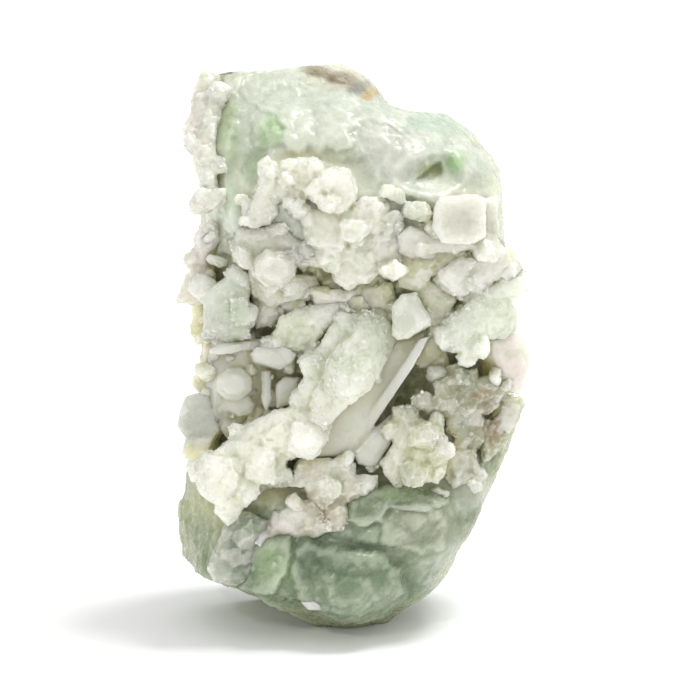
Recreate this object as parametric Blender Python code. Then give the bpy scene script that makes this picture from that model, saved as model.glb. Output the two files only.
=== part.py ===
# Prehnite specimen: a green, lumpy prehnite mass that carries pale crystals over its front.
# Blender units are metres, +Z up. The front faces -Y. The origin is on the floor under the middle.
# Places are a pixel of the 700 px photograph with a depth along Y in mm. Sizes are in mm.

import math

import bmesh
import bpy
import numpy as np

MM = 0.001

# How the photograph sees the specimen
PHOTO_SIDE = 700
PIXELS_PER_MM = 5.6
VIEW_DISTANCE = 600.0
VIEW_TILT = math.radians(12.0)
AIM_HEIGHT = 49.0

# The mass
AROUND = 46
ROWS = 34
CORNER_POWER = 2.7
FLOOR_DIP = 3.0
ROUGHNESS = 0.9
NOISE_SEED = 11

GAP = 0.3

# Cross sections of the mass from the bottom up, in mm
SECTIONS = [
    dict(height=-4.0, left=-8.0, right=6.0, front=-3.0, back=10.0),
    dict(height=-1.5, left=-16.0, right=8.5, front=-6.5, back=15.0),
    dict(height=3.0, left=-26.5, right=12.0, front=-12.0, back=17.0),
    dict(height=8.0, left=-29.3, right=16.5, front=-17.0, back=18.5),
    dict(height=14.0, left=-29.5, right=19.7, front=-19.5, back=19.5),
    dict(height=20.0, left=-29.3, right=23.2, front=-19.0, back=20.5),
    dict(height=26.0, left=-28.4, right=26.0, front=-16.0, back=21.0),
    dict(height=32.0, left=-27.4, right=28.6, front=-12.5, back=21.5),
    dict(height=39.0, left=-26.6, right=29.4, front=-10.0, back=22.0),
    dict(height=46.0, left=-26.4, right=29.4, front=-9.5, back=22.5),
    dict(height=53.0, left=-26.0, right=28.8, front=-10.0, back=22.5),
    dict(height=60.0, left=-25.8, right=27.5, front=-11.0, back=22.5),
    dict(height=67.0, left=-26.0, right=26.5, front=-13.0, back=22.5),
    dict(height=72.0, left=-26.0, right=26.3, front=-16.5, back=22.0),
    dict(height=78.0, left=-26.6, right=26.2, front=-16.5, back=21.5),
    dict(height=83.0, left=-28.0, right=24.8, front=-13.0, back=21.0),
    dict(height=88.0, left=-29.2, right=20.5, front=-8.5, back=20.0),
    dict(height=92.0, left=-28.6, right=12.5, front=-4.0, back=19.0),
    dict(height=95.0, left=-29.0, right=6.0, front=0.0, back=18.0),
    dict(height=97.8, left=-28.0, right=2.0, front=4.0, back=16.0),
    dict(height=99.2, left=-25.0, right=-2.0, front=7.0, back=14.0),
]

# Lumps (push > 0) and hollows (push < 0) in the front of the mass
FRONT_RELIEF = [
    # the olive hollow under the upper crystals
    dict(photo=(330, 284), reach=(9.0, 4.5), push=-6.0),
    dict(photo=(425, 268), reach=(7.0, 4.5), push=-5.0),
    # the green hollow beside the clear prism
    dict(photo=(404, 392), reach=(5.5, 6.0), push=-6.5),
    # the dark hollow among the clear crystals
    dict(photo=(262, 385), reach=(8.0, 7.0), push=-3.0),
    # green lumps at the bottom
    dict(photo=(352, 585), reach=(9.0, 8.5), push=4.0),
    dict(photo=(284, 575), reach=(5.0, 6.0), push=3.2),
    dict(photo=(200, 560), reach=(4.0, 8.0), push=1.0),
    dict(photo=(385, 505), reach=(12.0, 4.6), push=3.4),
    dict(photo=(360, 530), reach=(8.5, 4.5), push=2.4),
    dict(photo=(440, 548), reach=(8.0, 6.0), push=2.4),
    dict(photo=(425, 590), reach=(6.0, 5.0), push=1.6),
    # the cap's shelves
    dict(photo=(248, 178), reach=(3.6, 10.0), push=-3.6),
    dict(photo=(285, 130), reach=(5.0, 5.0), push=2.2),
    dict(photo=(345, 130), reach=(8.0, 5.5), push=2.6),
    dict(photo=(400, 145), reach=(8.5, 8.0), push=2.8),
    dict(photo=(432, 174), reach=(6.0, 3.2), push=-4.0),
    dict(photo=(470, 160), reach=(4.0, 4.0), push=1.8),
    dict(photo=(415, 212), reach=(4.0, 3.4), push=-2.0),
    dict(photo=(228, 250), reach=(4.0, 10.0), push=1.5),
]

# Broken faces that flatten the sides, the back and the top: outward direction and distance, mm
BROKEN_FACES = [
    dict(facing=(-1.0, -0.35, 0.05), distance=28.2),
    dict(facing=(-0.8, 0.75, 0.0), distance=30.5),
    dict(facing=(0.75, 0.75, 0.05), distance=33.0),
    dict(facing=(0.25, 1.0, -0.1), distance=19.5),
    dict(facing=(-0.3, 1.0, 0.25), distance=32.0),
    dict(facing=(0.35, 1.0, 0.45), distance=48.6),
    dict(facing=(-0.35, 1.0, -0.4), distance=12.8),
    dict(facing=(-0.5, 1.0, 0.1), distance=29.4),
    dict(facing=(0.3, 1.0, -0.3), distance=14.0),
    dict(facing=(0.65, 0.1, -0.65), distance=4.4),
    dict(facing=(0.55, 0.45, 0.75), distance=81.0),
    dict(facing=(0.8, -0.6, 0.1), distance=32.5),
]

# Dents that break the crest: middle, reach and depth, mm
DENTS = [
    dict(at=(8.0, 9.0, 95.0), reach=12.0, push=-3.6),
    dict(at=(-14.0, 12.0, 99.0), reach=8.0, push=-1.0),
]

# Crystals and their coats, in groups: each group is one solid. Outlines and places are pixels of the photograph,
# front and back are depths in mm, and lean is how much the front falls back per mm to the right and per mm up.
# A slab is an outline carried back into the mass, with a bevelled front. lumps scatters that many knobs on it,
# and tuck shifts its back that far to the right.
# A prism runs from root to tip. A lump is a rounded block.
GROUPS = {
    "diagonal_blade": [
        dict(
            slab=[(345, 320), (370, 314), (391, 314), (394, 347), (386, 360), (381, 369), (366, 370), (357, 376),
                  (356, 402), (341, 415), (325, 418), (324, 433), (307, 458), (288, 460), (286, 476), (270, 482),
                  (257, 484), (246, 498), (240, 511), (226, 511), (209, 493), (198, 478), (200, 460), (219, 445),
                  (236, 432), (262, 416), (289, 408), (299, 388), (312, 366), (321, 345), (331, 330)],
            front=-18.5, back=-6.0, lean=(0.18, 0.14), bevel=1.5, lumps=10, seed=1,
        ),
        dict(prism=((318, 405), -14.0), tip=((302, 452), -23.0), wide=7.4, thick=5.5, sides=6, point=0.3, end=0.72),
        dict(lump=((222, 474), -20.0), size=(4.6, 4.4, 4.6), turn=0, seed=5),
    ],
    "clear_prism": [
        dict(
            slab=[(392, 341), (428, 334), (413, 365), (381, 414), (354, 456), (280, 457), (300, 436), (340, 396)],
            front=-15.5, back=-5.0, lean=(0.12, 0.08), bevel=1.2,
        ),
        dict(
            slab=[(368, 436), (392, 416), (393, 445), (386, 454), (379, 467), (370, 470), (358, 465), (352, 452)],
            front=-16.6, back=-6.0, lean=(0.3, 0.0), bevel=1.6,
        ),
    ],
    "centre_block": [
        dict(
            slab=[(402, 296), (417, 295), (423, 308), (432, 320), (431, 327), (415, 336), (409, 340), (397, 341),
                  (392, 336), (392, 307)],
            front=-20.5, back=-6.0, lean=(0.1, 0.1), bevel=1.5,
        ),
    ],
    "lower_right_cluster": [
        dict(
            slab=[(391, 410), (404, 409), (414, 411), (420, 421), (438, 427), (444, 440), (441, 466), (430, 476),
                  (414, 483), (402, 478), (385, 473), (379, 465), (393, 446)],
            front=-17.0, back=-6.0, lean=(0.0, 0.12), bevel=1.6, lumps=4, seed=2,
        ),
        dict(prism=((414, 448), -12.0), tip=((454, 450), -21.0), wide=7.6, thick=6.6, sides=6, point=0.5, end=0.15),
        dict(prism=((418, 436), -12.0), tip=((428, 436), -22.0), wide=6.0, thick=5.4, sides=5, point=0.3, end=0.4),
        dict(prism=((418, 458), -14.0), tip=((414, 482), -20.5), wide=6.4, thick=5.2, sides=6, point=0.4, end=0.5),
    ],
    "lower_centre_cluster": [
        dict(
            slab=[(300, 474), (312, 460), (340, 459), (355, 465), (356, 477), (365, 492), (355, 504), (346, 510),
                  (330, 513), (313, 504), (304, 492)],
            front=-18.6, back=-8.0, lean=(0.1, 0.0), bevel=1.5, lumps=3, seed=3,
        ),
        dict(
            slab=[(269, 522), (273, 514), (285, 508), (313, 502), (327, 516), (332, 526), (328, 536), (318, 543),
                  (305, 539), (296, 542), (280, 540), (271, 533)],
            front=-19.6, back=-9.0, lean=(0.0, 0.1), bevel=1.5, lumps=3, seed=4,
        ),
        dict(prism=((318, 490), -15.0), tip=((366, 492), -18.5), wide=6.0, thick=5.0, sides=6, point=0.4, end=0.2),
        dict(prism=((312, 486), -12.0), tip=((334, 490), -21.5), wide=6.0, thick=6.0, sides=6, point=0.3, end=0.5),
        dict(prism=((300, 524), -16.0), tip=((330, 527), -21.5), wide=5.0, thick=4.2, sides=6, point=0.5, end=0.3),
        dict(prism=((256, 479), -14.0), tip=((306, 480), -17.6), wide=2.6, thick=4.4, sides=4, point=0.05, end=0.9),
    ],
    "second_blade": [
        dict(
            slab=[(345, 300), (342, 322), (331, 328), (319, 340), (311, 348), (297, 355), (270, 349), (267, 343),
                  (275, 330), (279, 320), (296, 310), (319, 307)],
            front=-14.6, back=-2.0, lean=(0.16, 0.08), bevel=1.4, lumps=4, seed=6,
        ),
    ],
    "hollow_crystals": [
        dict(lump=((254, 384), -8.0), size=(9.6, 4.0, 8.6), turn=8, seed=7),
        dict(prism=((284, 340), -11.0), tip=((210, 351), -17.5), wide=2.0, thick=2.6, sides=4, point=0.12, end=0.5),
        dict(prism=((262, 356), -6.0), tip=((214, 340), -14.0), wide=3.4, thick=3.0, sides=4, point=0.2, end=0.6),
        dict(
            slab=[(250, 354), (257, 347), (285, 347), (297, 356), (292, 365), (280, 372), (262, 367), (254, 363)],
            front=-17.0, back=-7.0, lean=(0.1, -0.3), bevel=1.0,
        ),
        dict(prism=((238, 384), -6.0), tip=((233, 384), -17.0), wide=6.6, thick=6.0, sides=8, point=0.2, end=0.6),
        dict(prism=((266, 372), -13.0), tip=((266, 411), -16.0), wide=2.0, thick=2.0, sides=6, point=0.3, end=0.2),
        dict(
            slab=[(275, 385), (284, 378), (299, 379), (297, 392), (290, 406), (276, 409)],
            front=-14.6, back=-6.0, lean=(0.2, 0.1), bevel=0.8,
        ),
        dict(
            slab=[(232, 394), (247, 395), (256, 404), (252, 415), (240, 418), (228, 412), (216, 416), (214, 404)],
            front=-14.0, back=-6.0, lean=(-0.1, 0.2), bevel=1.0,
        ),
        dict(prism=((246, 432), -8.0), tip=((222, 424), -13.0), wide=4.6, thick=4.0, sides=5, point=0.3, end=0.4),
    ],
    "left_tablet": [
        dict(
            slab=[(185, 398), (196, 394), (208, 394), (217, 410), (219, 430), (211, 441), (186, 441), (176, 429),
                  (179, 413)],
            front=-13.0, back=0.0, tuck=4.0, lean=(-0.25, 0.0), bevel=0.7,
        ),
        dict(
            slab=[(185, 438), (213, 436), (208, 451), (199, 464), (191, 466), (181, 455)],
            front=-13.6, back=-2.0, tuck=3.0, lean=(-0.25, 0.0), bevel=0.7,
        ),
    ],
    "left_column": [
        dict(
            slab=[(225, 279), (214, 286), (206, 294), (203, 310), (204, 333), (212, 340), (225, 342), (250, 339),
                  (250, 328), (249, 294), (243, 285), (234, 280)],
            front=-15.2, back=-4.0, lean=(-0.1, 0.05), bevel=1.2, lumps=2, seed=8,
        ),
        dict(
            slab=[(231, 299), (240, 297), (249, 300), (250, 326), (236, 327), (230, 318)],
            front=-16.6, back=-6.0, lean=(0.0, 0.0), bevel=0.6,
        ),
    ],
    "left_edge_crystals": [
        dict(
            slab=[(219, 230), (200, 230), (192, 240), (193, 253), (188, 274), (175, 299), (175, 305), (201, 307),
                  (205, 299), (204, 276), (209, 256), (219, 241)],
            front=-10.5, back=4.0, tuck=5.0, lean=(-0.25, 0.0), bevel=1.2, lumps=3, seed=9,
        ),
        dict(
            slab=[(191, 302), (191, 318), (189, 328), (191, 337), (196, 345), (203, 344), (206, 325), (204, 302)],
            front=-8.5, back=2.0, tuck=4.0, lean=(-0.2, 0.0), bevel=0.8,
        ),
        dict(
            slab=[(204, 344), (201, 361), (199, 373), (192, 380), (191, 388), (197, 393), (208, 394), (213, 384),
                  (212, 344)],
            front=-9.0, back=2.0, tuck=4.0, lean=(-0.2, 0.0), bevel=1.0,
        ),
    ],
    "left_top_crust": [
        dict(
            slab=[(198, 74), (196, 83), (191, 100), (188, 116), (182, 129), (182, 135), (187, 145), (197, 155),
                  (200, 162), (203, 172), (201, 181), (203, 192), (208, 202), (216, 186), (216, 163), (214, 140),
                  (218, 117), (216, 94), (211, 78)],
            front=-7.5, back=6.0, tuck=4.0, lean=(-0.3, 0.75), bevel=1.2, lumps=5, seed=10,
        ),
    ],
    "round_clear_knob": [
        dict(
            slab=[(239, 253), (234, 240), (237, 231), (258, 228), (290, 232), (300, 242), (303, 252), (298, 264),
                  (294, 276), (285, 283), (262, 284), (250, 277), (244, 265)],
            front=-18.0, back=-8.0, lean=(0.0, 0.1), bevel=1.5, lumps=3, seed=11,
        ),
        dict(prism=((276, 264), -10.0), tip=((274, 269), -21.5), wide=7.4, thick=6.6, sides=8, point=0.2, end=0.62),
        dict(
            slab=[(250, 276), (262, 281), (290, 280), (302, 290), (296, 302), (270, 308), (252, 298)],
            front=-15.0, back=-6.0, lean=(0.0, -0.2), bevel=1.0, lumps=2, seed=12,
        ),
        dict(
            slab=[(259, 300), (270, 298), (280, 303), (279, 316), (272, 328), (257, 329), (254, 318)],
            front=-13.0, back=-5.0, lean=(0.0, 0.0), bevel=0.9,
        ),
    ],
    "upper_crystal_cluster": [
        dict(
            slab=[(258, 176), (272, 172), (288, 180), (290, 196), (284, 203), (276, 204), (278, 215), (270, 226),
                  (256, 227), (249, 222), (247, 214), (252, 202), (256, 190)],
            front=-18.6, back=-9.0, lean=(0.0, 0.0), bevel=1.4, lumps=4, seed=13,
        ),
        dict(
            slab=[(268, 176), (282, 163), (300, 158), (316, 165), (322, 178), (316, 190), (308, 200), (295, 206),
                  (286, 196)],
            front=-18.0, back=-8.0, lean=(0.0, 0.1), bevel=1.6, lumps=1, seed=14,
        ),
        dict(
            slab=[(302, 192), (311, 184), (321, 173), (336, 168), (350, 172), (356, 184), (357, 201), (348, 212),
                  (338, 217), (328, 213), (311, 204)],
            front=-20.8, back=-9.0, lean=(0.1, 0.0), bevel=1.8,
        ),
        dict(prism=((332, 190), -14.0), tip=((329, 211), -24.5), wide=6.0, thick=5.0, sides=6, point=0.5, end=0.15),
        dict(
            slab=[(296, 212), (312, 210), (330, 212), (346, 214), (354, 226), (348, 244), (338, 256), (322, 252),
                  (306, 246), (301, 232)],
            front=-19.0, back=-9.0, lean=(0.0, 0.1), bevel=1.6, lumps=3, seed=15,
        ),
        dict(
            slab=[(350, 212), (362, 198), (384, 198), (392, 212), (396, 228), (380, 236), (362, 238), (350, 232)],
            front=-18.6, back=-8.0, lean=(0.1, 0.0), bevel=1.5, lumps=2, seed=16,
        ),
        dict(
            slab=[(298, 248), (308, 244), (334, 252), (344, 258), (338, 271), (312, 267), (297, 259)],
            front=-17.4, back=-7.0, lean=(0.0, -0.2), bevel=1.4, lumps=1, seed=17,
        ),
        dict(
            slab=[(328, 264), (346, 242), (368, 230), (392, 232), (404, 246), (398, 262), (380, 268), (372, 280),
                  (350, 292), (333, 284)],
            front=-17.6, back=-6.0, lean=(0.0, -0.12), bevel=1.6, lumps=3, seed=18,
        ),
        dict(
            slab=[(382, 266), (396, 262), (405, 266), (408, 272), (404, 277), (394, 282), (383, 277), (378, 272)],
            front=-21.0, back=-8.0, lean=(0.0, 0.0), bevel=0.9,
        ),
    ],
    "right_block": [
        dict(
            slab=[(440, 197), (478, 195), (487, 200), (486, 238), (470, 246), (442, 244), (432, 230), (434, 208)],
            front=-20.8, back=-6.0, lean=(0.05, 0.05), bevel=1.0,
        ),
        dict(
            slab=[(484, 199), (498, 196), (499, 240), (485, 247)],
            front=-15.0, back=2.0, tuck=-4.0, lean=(0.5, 0.0), bevel=0.8,
        ),
        dict(
            slab=[(396, 234), (410, 226), (436, 236), (470, 240), (486, 249), (455, 254), (436, 255), (411, 261),
                  (397, 254)],
            front=-18.2, back=-7.0, lean=(0.0, -0.15), bevel=1.3, lumps=3, seed=19,
        ),
    ],
    "right_tongue": [
        dict(
            slab=[(438, 280), (440, 271), (455, 260), (486, 249), (498, 240), (506, 248), (511, 258), (514, 272),
                  (512, 281), (490, 286), (475, 291), (467, 296), (455, 295), (446, 290)],
            front=-16.0, back=3.0, tuck=-7.0, lean=(0.4, 0.05), bevel=1.7, lumps=2, seed=20,
        ),
        dict(lump=((494, 262), -9.5), size=(3.4, 4.6, 3.6), turn=10, seed=29),
    ],
    "right_coat": [
        dict(
            slab=[(451, 314), (447, 319), (444, 327), (449, 339), (450, 350), (457, 353), (480, 353), (489, 342),
                  (510, 337), (520, 330), (520, 322), (515, 311), (511, 300), (514, 291), (505, 284), (475, 291),
                  (461, 311)],
            front=-15.2, back=2.0, tuck=-7.0, lean=(0.4, 0.05), bevel=1.6, lumps=4, seed=21,
        ),
        dict(
            slab=[(457, 345), (460, 365), (475, 365), (480, 345)],
            front=-15.6, back=-5.0, lean=(0.2, 0.0), bevel=0.7,
        ),
    ],
    "pink_knob": [
        dict(
            slab=[(510, 332), (521, 336), (529, 352), (532, 360), (530, 370), (524, 389), (520, 396), (510, 394),
                  (502, 383), (496, 365), (491, 357), (490, 340)],
            front=-11.5, back=6.0, tuck=-9.0, lean=(0.35, 0.0), bevel=1.4,
        ),
    ],
    "right_shelf_crystals": [
        dict(
            slab=[(423, 402), (434, 394), (434, 383), (450, 373), (478, 370), (479, 380), (496, 377), (507, 396),
                  (480, 407), (462, 409), (455, 412), (442, 414), (429, 409)],
            front=-13.8, back=-3.0, lean=(0.25, 0.05), bevel=1.3, lumps=3, seed=22,
        ),
        dict(
            slab=[(428, 336), (440, 332), (448, 352), (451, 376), (437, 376), (414, 365), (419, 354)],
            front=-10.6, back=-3.0, lean=(0.0, 0.0), bevel=0.9,
        ),
        dict(
            slab=[(448, 408), (462, 404), (478, 402), (484, 420), (486, 440), (478, 452), (462, 456), (452, 448),
                  (455, 440), (446, 430)],
            front=-12.4, back=-4.0, lean=(0.2, 0.0), bevel=1.3, lumps=2, seed=23,
        ),
        dict(
            slab=[(521, 399), (526, 407), (520, 421), (512, 440), (500, 452), (484, 462), (482, 430), (500, 414),
                  (506, 396)],
            front=-9.0, back=4.0, tuck=-6.0, lean=(0.4, 0.0), bevel=0.9,
        ),
        dict(
            slab=[(441, 466), (446, 485), (453, 490), (473, 484), (480, 470), (476, 448), (452, 452)],
            front=-13.4, back=-5.0, lean=(0.2, 0.0), bevel=1.2, lumps=1, seed=24,
        ),
    ],
    "lower_left_window": [
        dict(
            slab=[(221, 535), (226, 521), (235, 514), (251, 515), (266, 523), (270, 535), (262, 552), (258, 572),
                  (246, 584), (228, 588), (212, 582), (206, 570), (214, 552)],
            front=-20.6, back=-9.0, lean=(0.0, 0.12), bevel=1.5,
        ),
        dict(lump=((250, 533), -18.0), size=(3.6, 3.0, 3.2), turn=0, seed=33),
    ],
    "small_white_crystal": [
        dict(
            slab=[(302, 594), (312, 590), (326, 592), (328, 602), (322, 612), (308, 611), (301, 603)],
            front=-21.5, back=-12.0, lean=(0.0, 0.0), bevel=0.8,
        ),
    ],
}
LUMP_POINTS = 10
LUMP_POWER = 3.0
LUMP_UNEVEN = 0.1
KNOB_SIZE = (1.5, 2.5)
TAPER = 0.85

# Neighbouring faces that differ by less than this are made one
FLAT_WITHIN = math.radians(1.5)
MASS_FLAT_WITHIN = math.radians(7.0)

# Finishes: colour as linear values, and clear is how far light passes straight through
PREHNITE_IOR = 1.63
COAT_FINISH = dict(colour=(0.78, 0.76, 0.68), roughness=0.5)
FINISHES = {
    "prehnite_mass": dict(colour=(0.38, 0.50, 0.36), roughness=0.45),
    "diagonal_blade": dict(colour=(0.74, 0.78, 0.66), roughness=0.5),
    "second_blade": dict(colour=(0.64, 0.70, 0.54), roughness=0.5),
    "clear_prism": dict(colour=(0.60, 0.56, 0.46), roughness=0.2, clear=0.5),
    "centre_block": dict(colour=(0.66, 0.72, 0.58), roughness=0.3, clear=0.3),
    "hollow_crystals": dict(colour=(0.62, 0.61, 0.50), roughness=0.2, clear=0.5),
    "left_tablet": dict(colour=(0.54, 0.60, 0.50), roughness=0.3, clear=0.3),
    "left_column": dict(colour=(0.62, 0.66, 0.52), roughness=0.35, clear=0.2),
    "round_clear_knob": dict(colour=(0.70, 0.69, 0.60), roughness=0.25, clear=0.4),
    "lower_left_window": dict(colour=(0.42, 0.48, 0.38), roughness=0.3, clear=0.3),
    "lower_right_cluster": dict(colour=(0.70, 0.72, 0.52), roughness=0.4),
    "right_shelf_crystals": dict(colour=(0.52, 0.56, 0.44), roughness=0.35, clear=0.2),
    "pink_knob": dict(colour=(0.74, 0.68, 0.61), roughness=0.35),
}


def seen_at(pixel, depth):
    """The point in mm that the photograph shows at a pixel, at that depth along Y."""
    focal = PIXELS_PER_MM * VIEW_DISTANCE
    right = (pixel[0] - PHOTO_SIDE / 2) / focal
    up = (PHOTO_SIDE / 2 - pixel[1]) / focal
    cos, sin = math.cos(VIEW_TILT), math.sin(VIEW_TILT)
    eye = np.array([0.0, -VIEW_DISTANCE * cos, AIM_HEIGHT + VIEW_DISTANCE * sin])
    ray = np.array([right, cos + up * sin, up * cos - sin])
    return eye + ray * (depth - eye[1]) / ray[1]


def smooth_step(low, high, value):
    t = np.clip((value - low) / (high - low), 0.0, 1.0)
    return t * t * (3.0 - 2.0 * t)


def curve_through(places, values, where):
    """A smooth curve through the values at the places (cubic Hermite), read at where."""
    places = np.asarray(places, float)
    values = np.asarray(values, float)
    slopes = np.gradient(values, places)
    i = np.clip(np.searchsorted(places, where) - 1, 0, len(places) - 2)
    step = places[i + 1] - places[i]
    t = (where - places[i]) / step
    return (
        values[i] * (1 + 2 * t) * (1 - t) ** 2
        + slopes[i] * step * t * (1 - t) ** 2
        + values[i + 1] * t * t * (3 - 2 * t)
        + slopes[i + 1] * step * t * t * (t - 1)
    )


def lattice_value(cell, seed):
    """A repeatable value from 0 to 1 for each whole-number cell."""
    mixed = cell[..., 0] * 127.1 + cell[..., 1] * 311.7 + cell[..., 2] * 74.7 + seed * 53.3
    return np.modf(np.abs(np.sin(mixed) * 43758.5453))[0]


def noise(points, size, seed):
    """Smooth noise from -1 to 1, with bumps of about that size in mm."""
    scaled = points / size
    base = np.floor(scaled)
    t = scaled - base
    t = t * t * (3.0 - 2.0 * t)
    total = np.zeros(points.shape[:-1])
    for corner in np.ndindex(2, 2, 2):
        weight = np.prod(np.where(corner, t, 1.0 - t), axis=-1)
        total += weight * lattice_value(base + corner, seed)
    return total * 2.0 - 1.0


def front_relief(points):
    """How far the lumps and hollows push the front out, in mm."""
    pushed = np.zeros(points.shape[:-1])
    for spot in FRONT_RELIEF:
        centre = seen_at(spot["photo"], -12.0)
        across = (points[..., 0] - centre[0]) / spot["reach"][0]
        up = (points[..., 2] - centre[2]) / spot["reach"][1]
        dome = np.sqrt(np.clip(1.0 - across**2 - up**2, 0.0, 1.0))
        pushed += spot["push"] * dome
    return pushed


def mass_surface(around, rows):
    """The mass as a grid of points: rounded cross sections that follow SECTIONS upwards."""
    heights = [s["height"] for s in SECTIONS]
    level = np.linspace(0.0, 1.0, rows) ** 0.97
    height = heights[0] + level * (heights[-1] - heights[0])
    edge = {
        side: curve_through(heights, [s[side] for s in SECTIONS], height)[:, None]
        for side in ("left", "right", "front", "back")
    }
    turn = np.linspace(0.0, 2.0 * math.pi, around, endpoint=False)[None, :]
    boxed = (abs(np.cos(turn)) ** CORNER_POWER + abs(np.sin(turn)) ** CORNER_POWER) ** (-1 / CORNER_POWER)
    across = boxed * np.cos(turn)
    along = boxed * np.sin(turn)
    middle_x = (edge["left"] + edge["right"]) / 2
    middle_y = (edge["front"] + edge["back"]) / 2
    x = middle_x + across * (edge["right"] - edge["left"]) / 2
    y = middle_y + along * (edge["back"] - edge["front"]) / 2
    points = np.stack([x, y, np.broadcast_to(height[:, None], x.shape)], axis=-1)
    facing_front = smooth_step(0.1, 0.8, -along)
    points[..., 1] -= front_relief(points) * facing_front
    for face in BROKEN_FACES:
        normal = np.array(face["facing"]) / np.linalg.norm(face["facing"])
        beyond = points @ normal - face["distance"]
        points -= np.clip(beyond, 0.0, None)[..., None] * normal * 0.85
    for dent in DENTS:
        apart = np.linalg.norm(points - np.array(dent["at"]), axis=-1)
        points[..., 2] += dent["push"] * smooth_step(dent["reach"], 0.0, apart)
    outward = np.stack([x - middle_x, y - middle_y, np.zeros_like(x)], axis=-1)
    outward /= np.maximum(np.linalg.norm(outward, axis=-1, keepdims=True), 1.0)
    rough = noise(points, 11.0, NOISE_SEED) + 0.5 * noise(points, 6.0, NOISE_SEED + 1)
    points += outward * rough[..., None] * ROUGHNESS
    return lifted_off_floor(points)


def lifted_off_floor(points):
    """The bottom left of the front hangs clear of the floor, and the rest reaches below it."""
    x, y, z = points[..., 0], points[..., 1], points[..., 2]
    left = np.clip((-3.5 - x) / 17.0, 0.0, 1.0) ** 0.8
    front = smooth_step(14.0, 2.0, y)
    clearance = 11.0 * left * front
    points[..., 2] = np.where(z < clearance + 3.0, np.maximum(z, clearance - FLOOR_DIP * (1 - left * front)), z)
    return points


def stone(obj):
    """The object's own Principled material, with the colour and roughness in FINISHES."""
    finish = FINISHES.get(obj.name, COAT_FINISH)
    material = bpy.data.materials.new(obj.name)
    material.use_nodes = True
    shader = material.node_tree.nodes["Principled BSDF"]
    shader.inputs["Base Color"].default_value = (*finish["colour"], 1.0)
    shader.inputs["Roughness"].default_value = finish["roughness"]
    shader.inputs["Metallic"].default_value = 0.0
    shader.inputs["IOR"].default_value = PREHNITE_IOR
    shader.inputs["Transmission Weight"].default_value = finish.get("clear", 0.0)
    obj.data.materials.clear()
    obj.data.materials.append(material)
    for face in obj.data.polygons:
        face.material_index = 0


def mesh_object(name, vertices, faces):
    mesh = bpy.data.meshes.new(name)
    mesh.from_pydata((np.asarray(vertices) * MM).tolist(), [], faces)
    mesh.validate()
    obj = bpy.data.objects.new(name, mesh)
    bpy.context.scene.collection.objects.link(obj)
    return obj


def grid_faces(rows, around):
    """Quads between the rows of a closed grid, and a fan to a pole at each end."""
    faces = []
    for row in range(rows - 1):
        for i in range(around):
            j = (i + 1) % around
            a = row * around
            faces.append((a + i, a + j, a + around + j, a + around + i))
    bottom = rows * around
    top = bottom + 1
    last = (rows - 1) * around
    for i in range(around):
        j = (i + 1) % around
        faces.append((bottom, j, i))
        faces.append((top, last + i, last + j))
    return faces


def make_mass():
    grid = mass_surface(AROUND, ROWS)
    flat = grid.reshape(-1, 3)
    poles = [grid[0].mean(axis=0), grid[-1].mean(axis=0)]
    obj = mesh_object("prehnite_mass", np.vstack([flat, poles]), grid_faces(ROWS, AROUND))
    rest_on_floor(obj)
    return obj


def rest_on_floor(obj):
    """Cuts the object off flat at the floor."""
    work = bmesh.new()
    work.from_mesh(obj.data)
    everything = work.verts[:] + work.edges[:] + work.faces[:]
    cut = bmesh.ops.bisect_plane(
        work, geom=everything, plane_co=(0, 0, 0), plane_no=(0, 0, -1), clear_outer=True
    )
    rim = [e for e in cut["geom_cut"] if isinstance(e, bmesh.types.BMEdge)]
    bmesh.ops.holes_fill(work, edges=rim, sides=0)
    bmesh.ops.dissolve_limit(work, angle_limit=MASS_FLAT_WITHIN, verts=work.verts[:], edges=work.edges[:])
    bmesh.ops.triangulate(work, faces=work.faces[:])
    bmesh.ops.recalc_face_normals(work, faces=work.faces[:])
    work.to_mesh(obj.data)
    work.free()


def prism_shape(spec, grow):
    """A straight crystal: a polygon carried from root to shoulder, then drawn in to its end face."""
    root = seen_at(*spec["prism"])
    tip = seen_at(*spec["tip"])
    axis = tip - root
    length = np.linalg.norm(axis)
    axis /= length
    view = np.array([0.0, 1.0, 0.0]) if abs(axis[1]) < 0.9 else np.array([0.0, 0.0, 1.0])
    side = np.cross(axis, view)
    side /= np.linalg.norm(side)
    depth = np.cross(side, axis)
    sides = spec["sides"]
    turn = 2 * math.pi * (np.arange(sides) + 0.5) / sides + math.radians(spec.get("roll", 0))
    wider = grow / math.cos(math.pi / sides)
    outline = (
        np.cos(turn)[:, None] * side * (spec["wide"] / 2 + wider)
        + np.sin(turn)[:, None] * depth * (spec["thick"] / 2 + wider)
    )
    shoulder = root + axis * (length * (1 - spec["point"]) + grow)
    rings = [root - axis * grow + outline, shoulder + outline, tip + axis * grow + outline * spec["end"]]
    faces = [tuple(range(sides))[::-1], tuple(range(2 * sides, 3 * sides))]
    for base in (0, sides):
        for i in range(sides):
            j = (i + 1) % sides
            faces.append((base + i, base + j, base + sides + j, base + sides + i))
    return np.vstack(rings), faces


def front_at(spec, points, shift):
    """The points carried along Y to the slab's leaning front plane, set back by shift mm."""
    middle = seen_at(np.mean(spec["slab"], axis=0), spec["front"])
    along, up = spec["lean"]
    moved = points.copy()
    depth = spec["front"] + shift + along * (points[:, 0] - middle[0]) + up * (points[:, 2] - middle[2])
    moved[:, 1] = depth
    return moved


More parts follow.
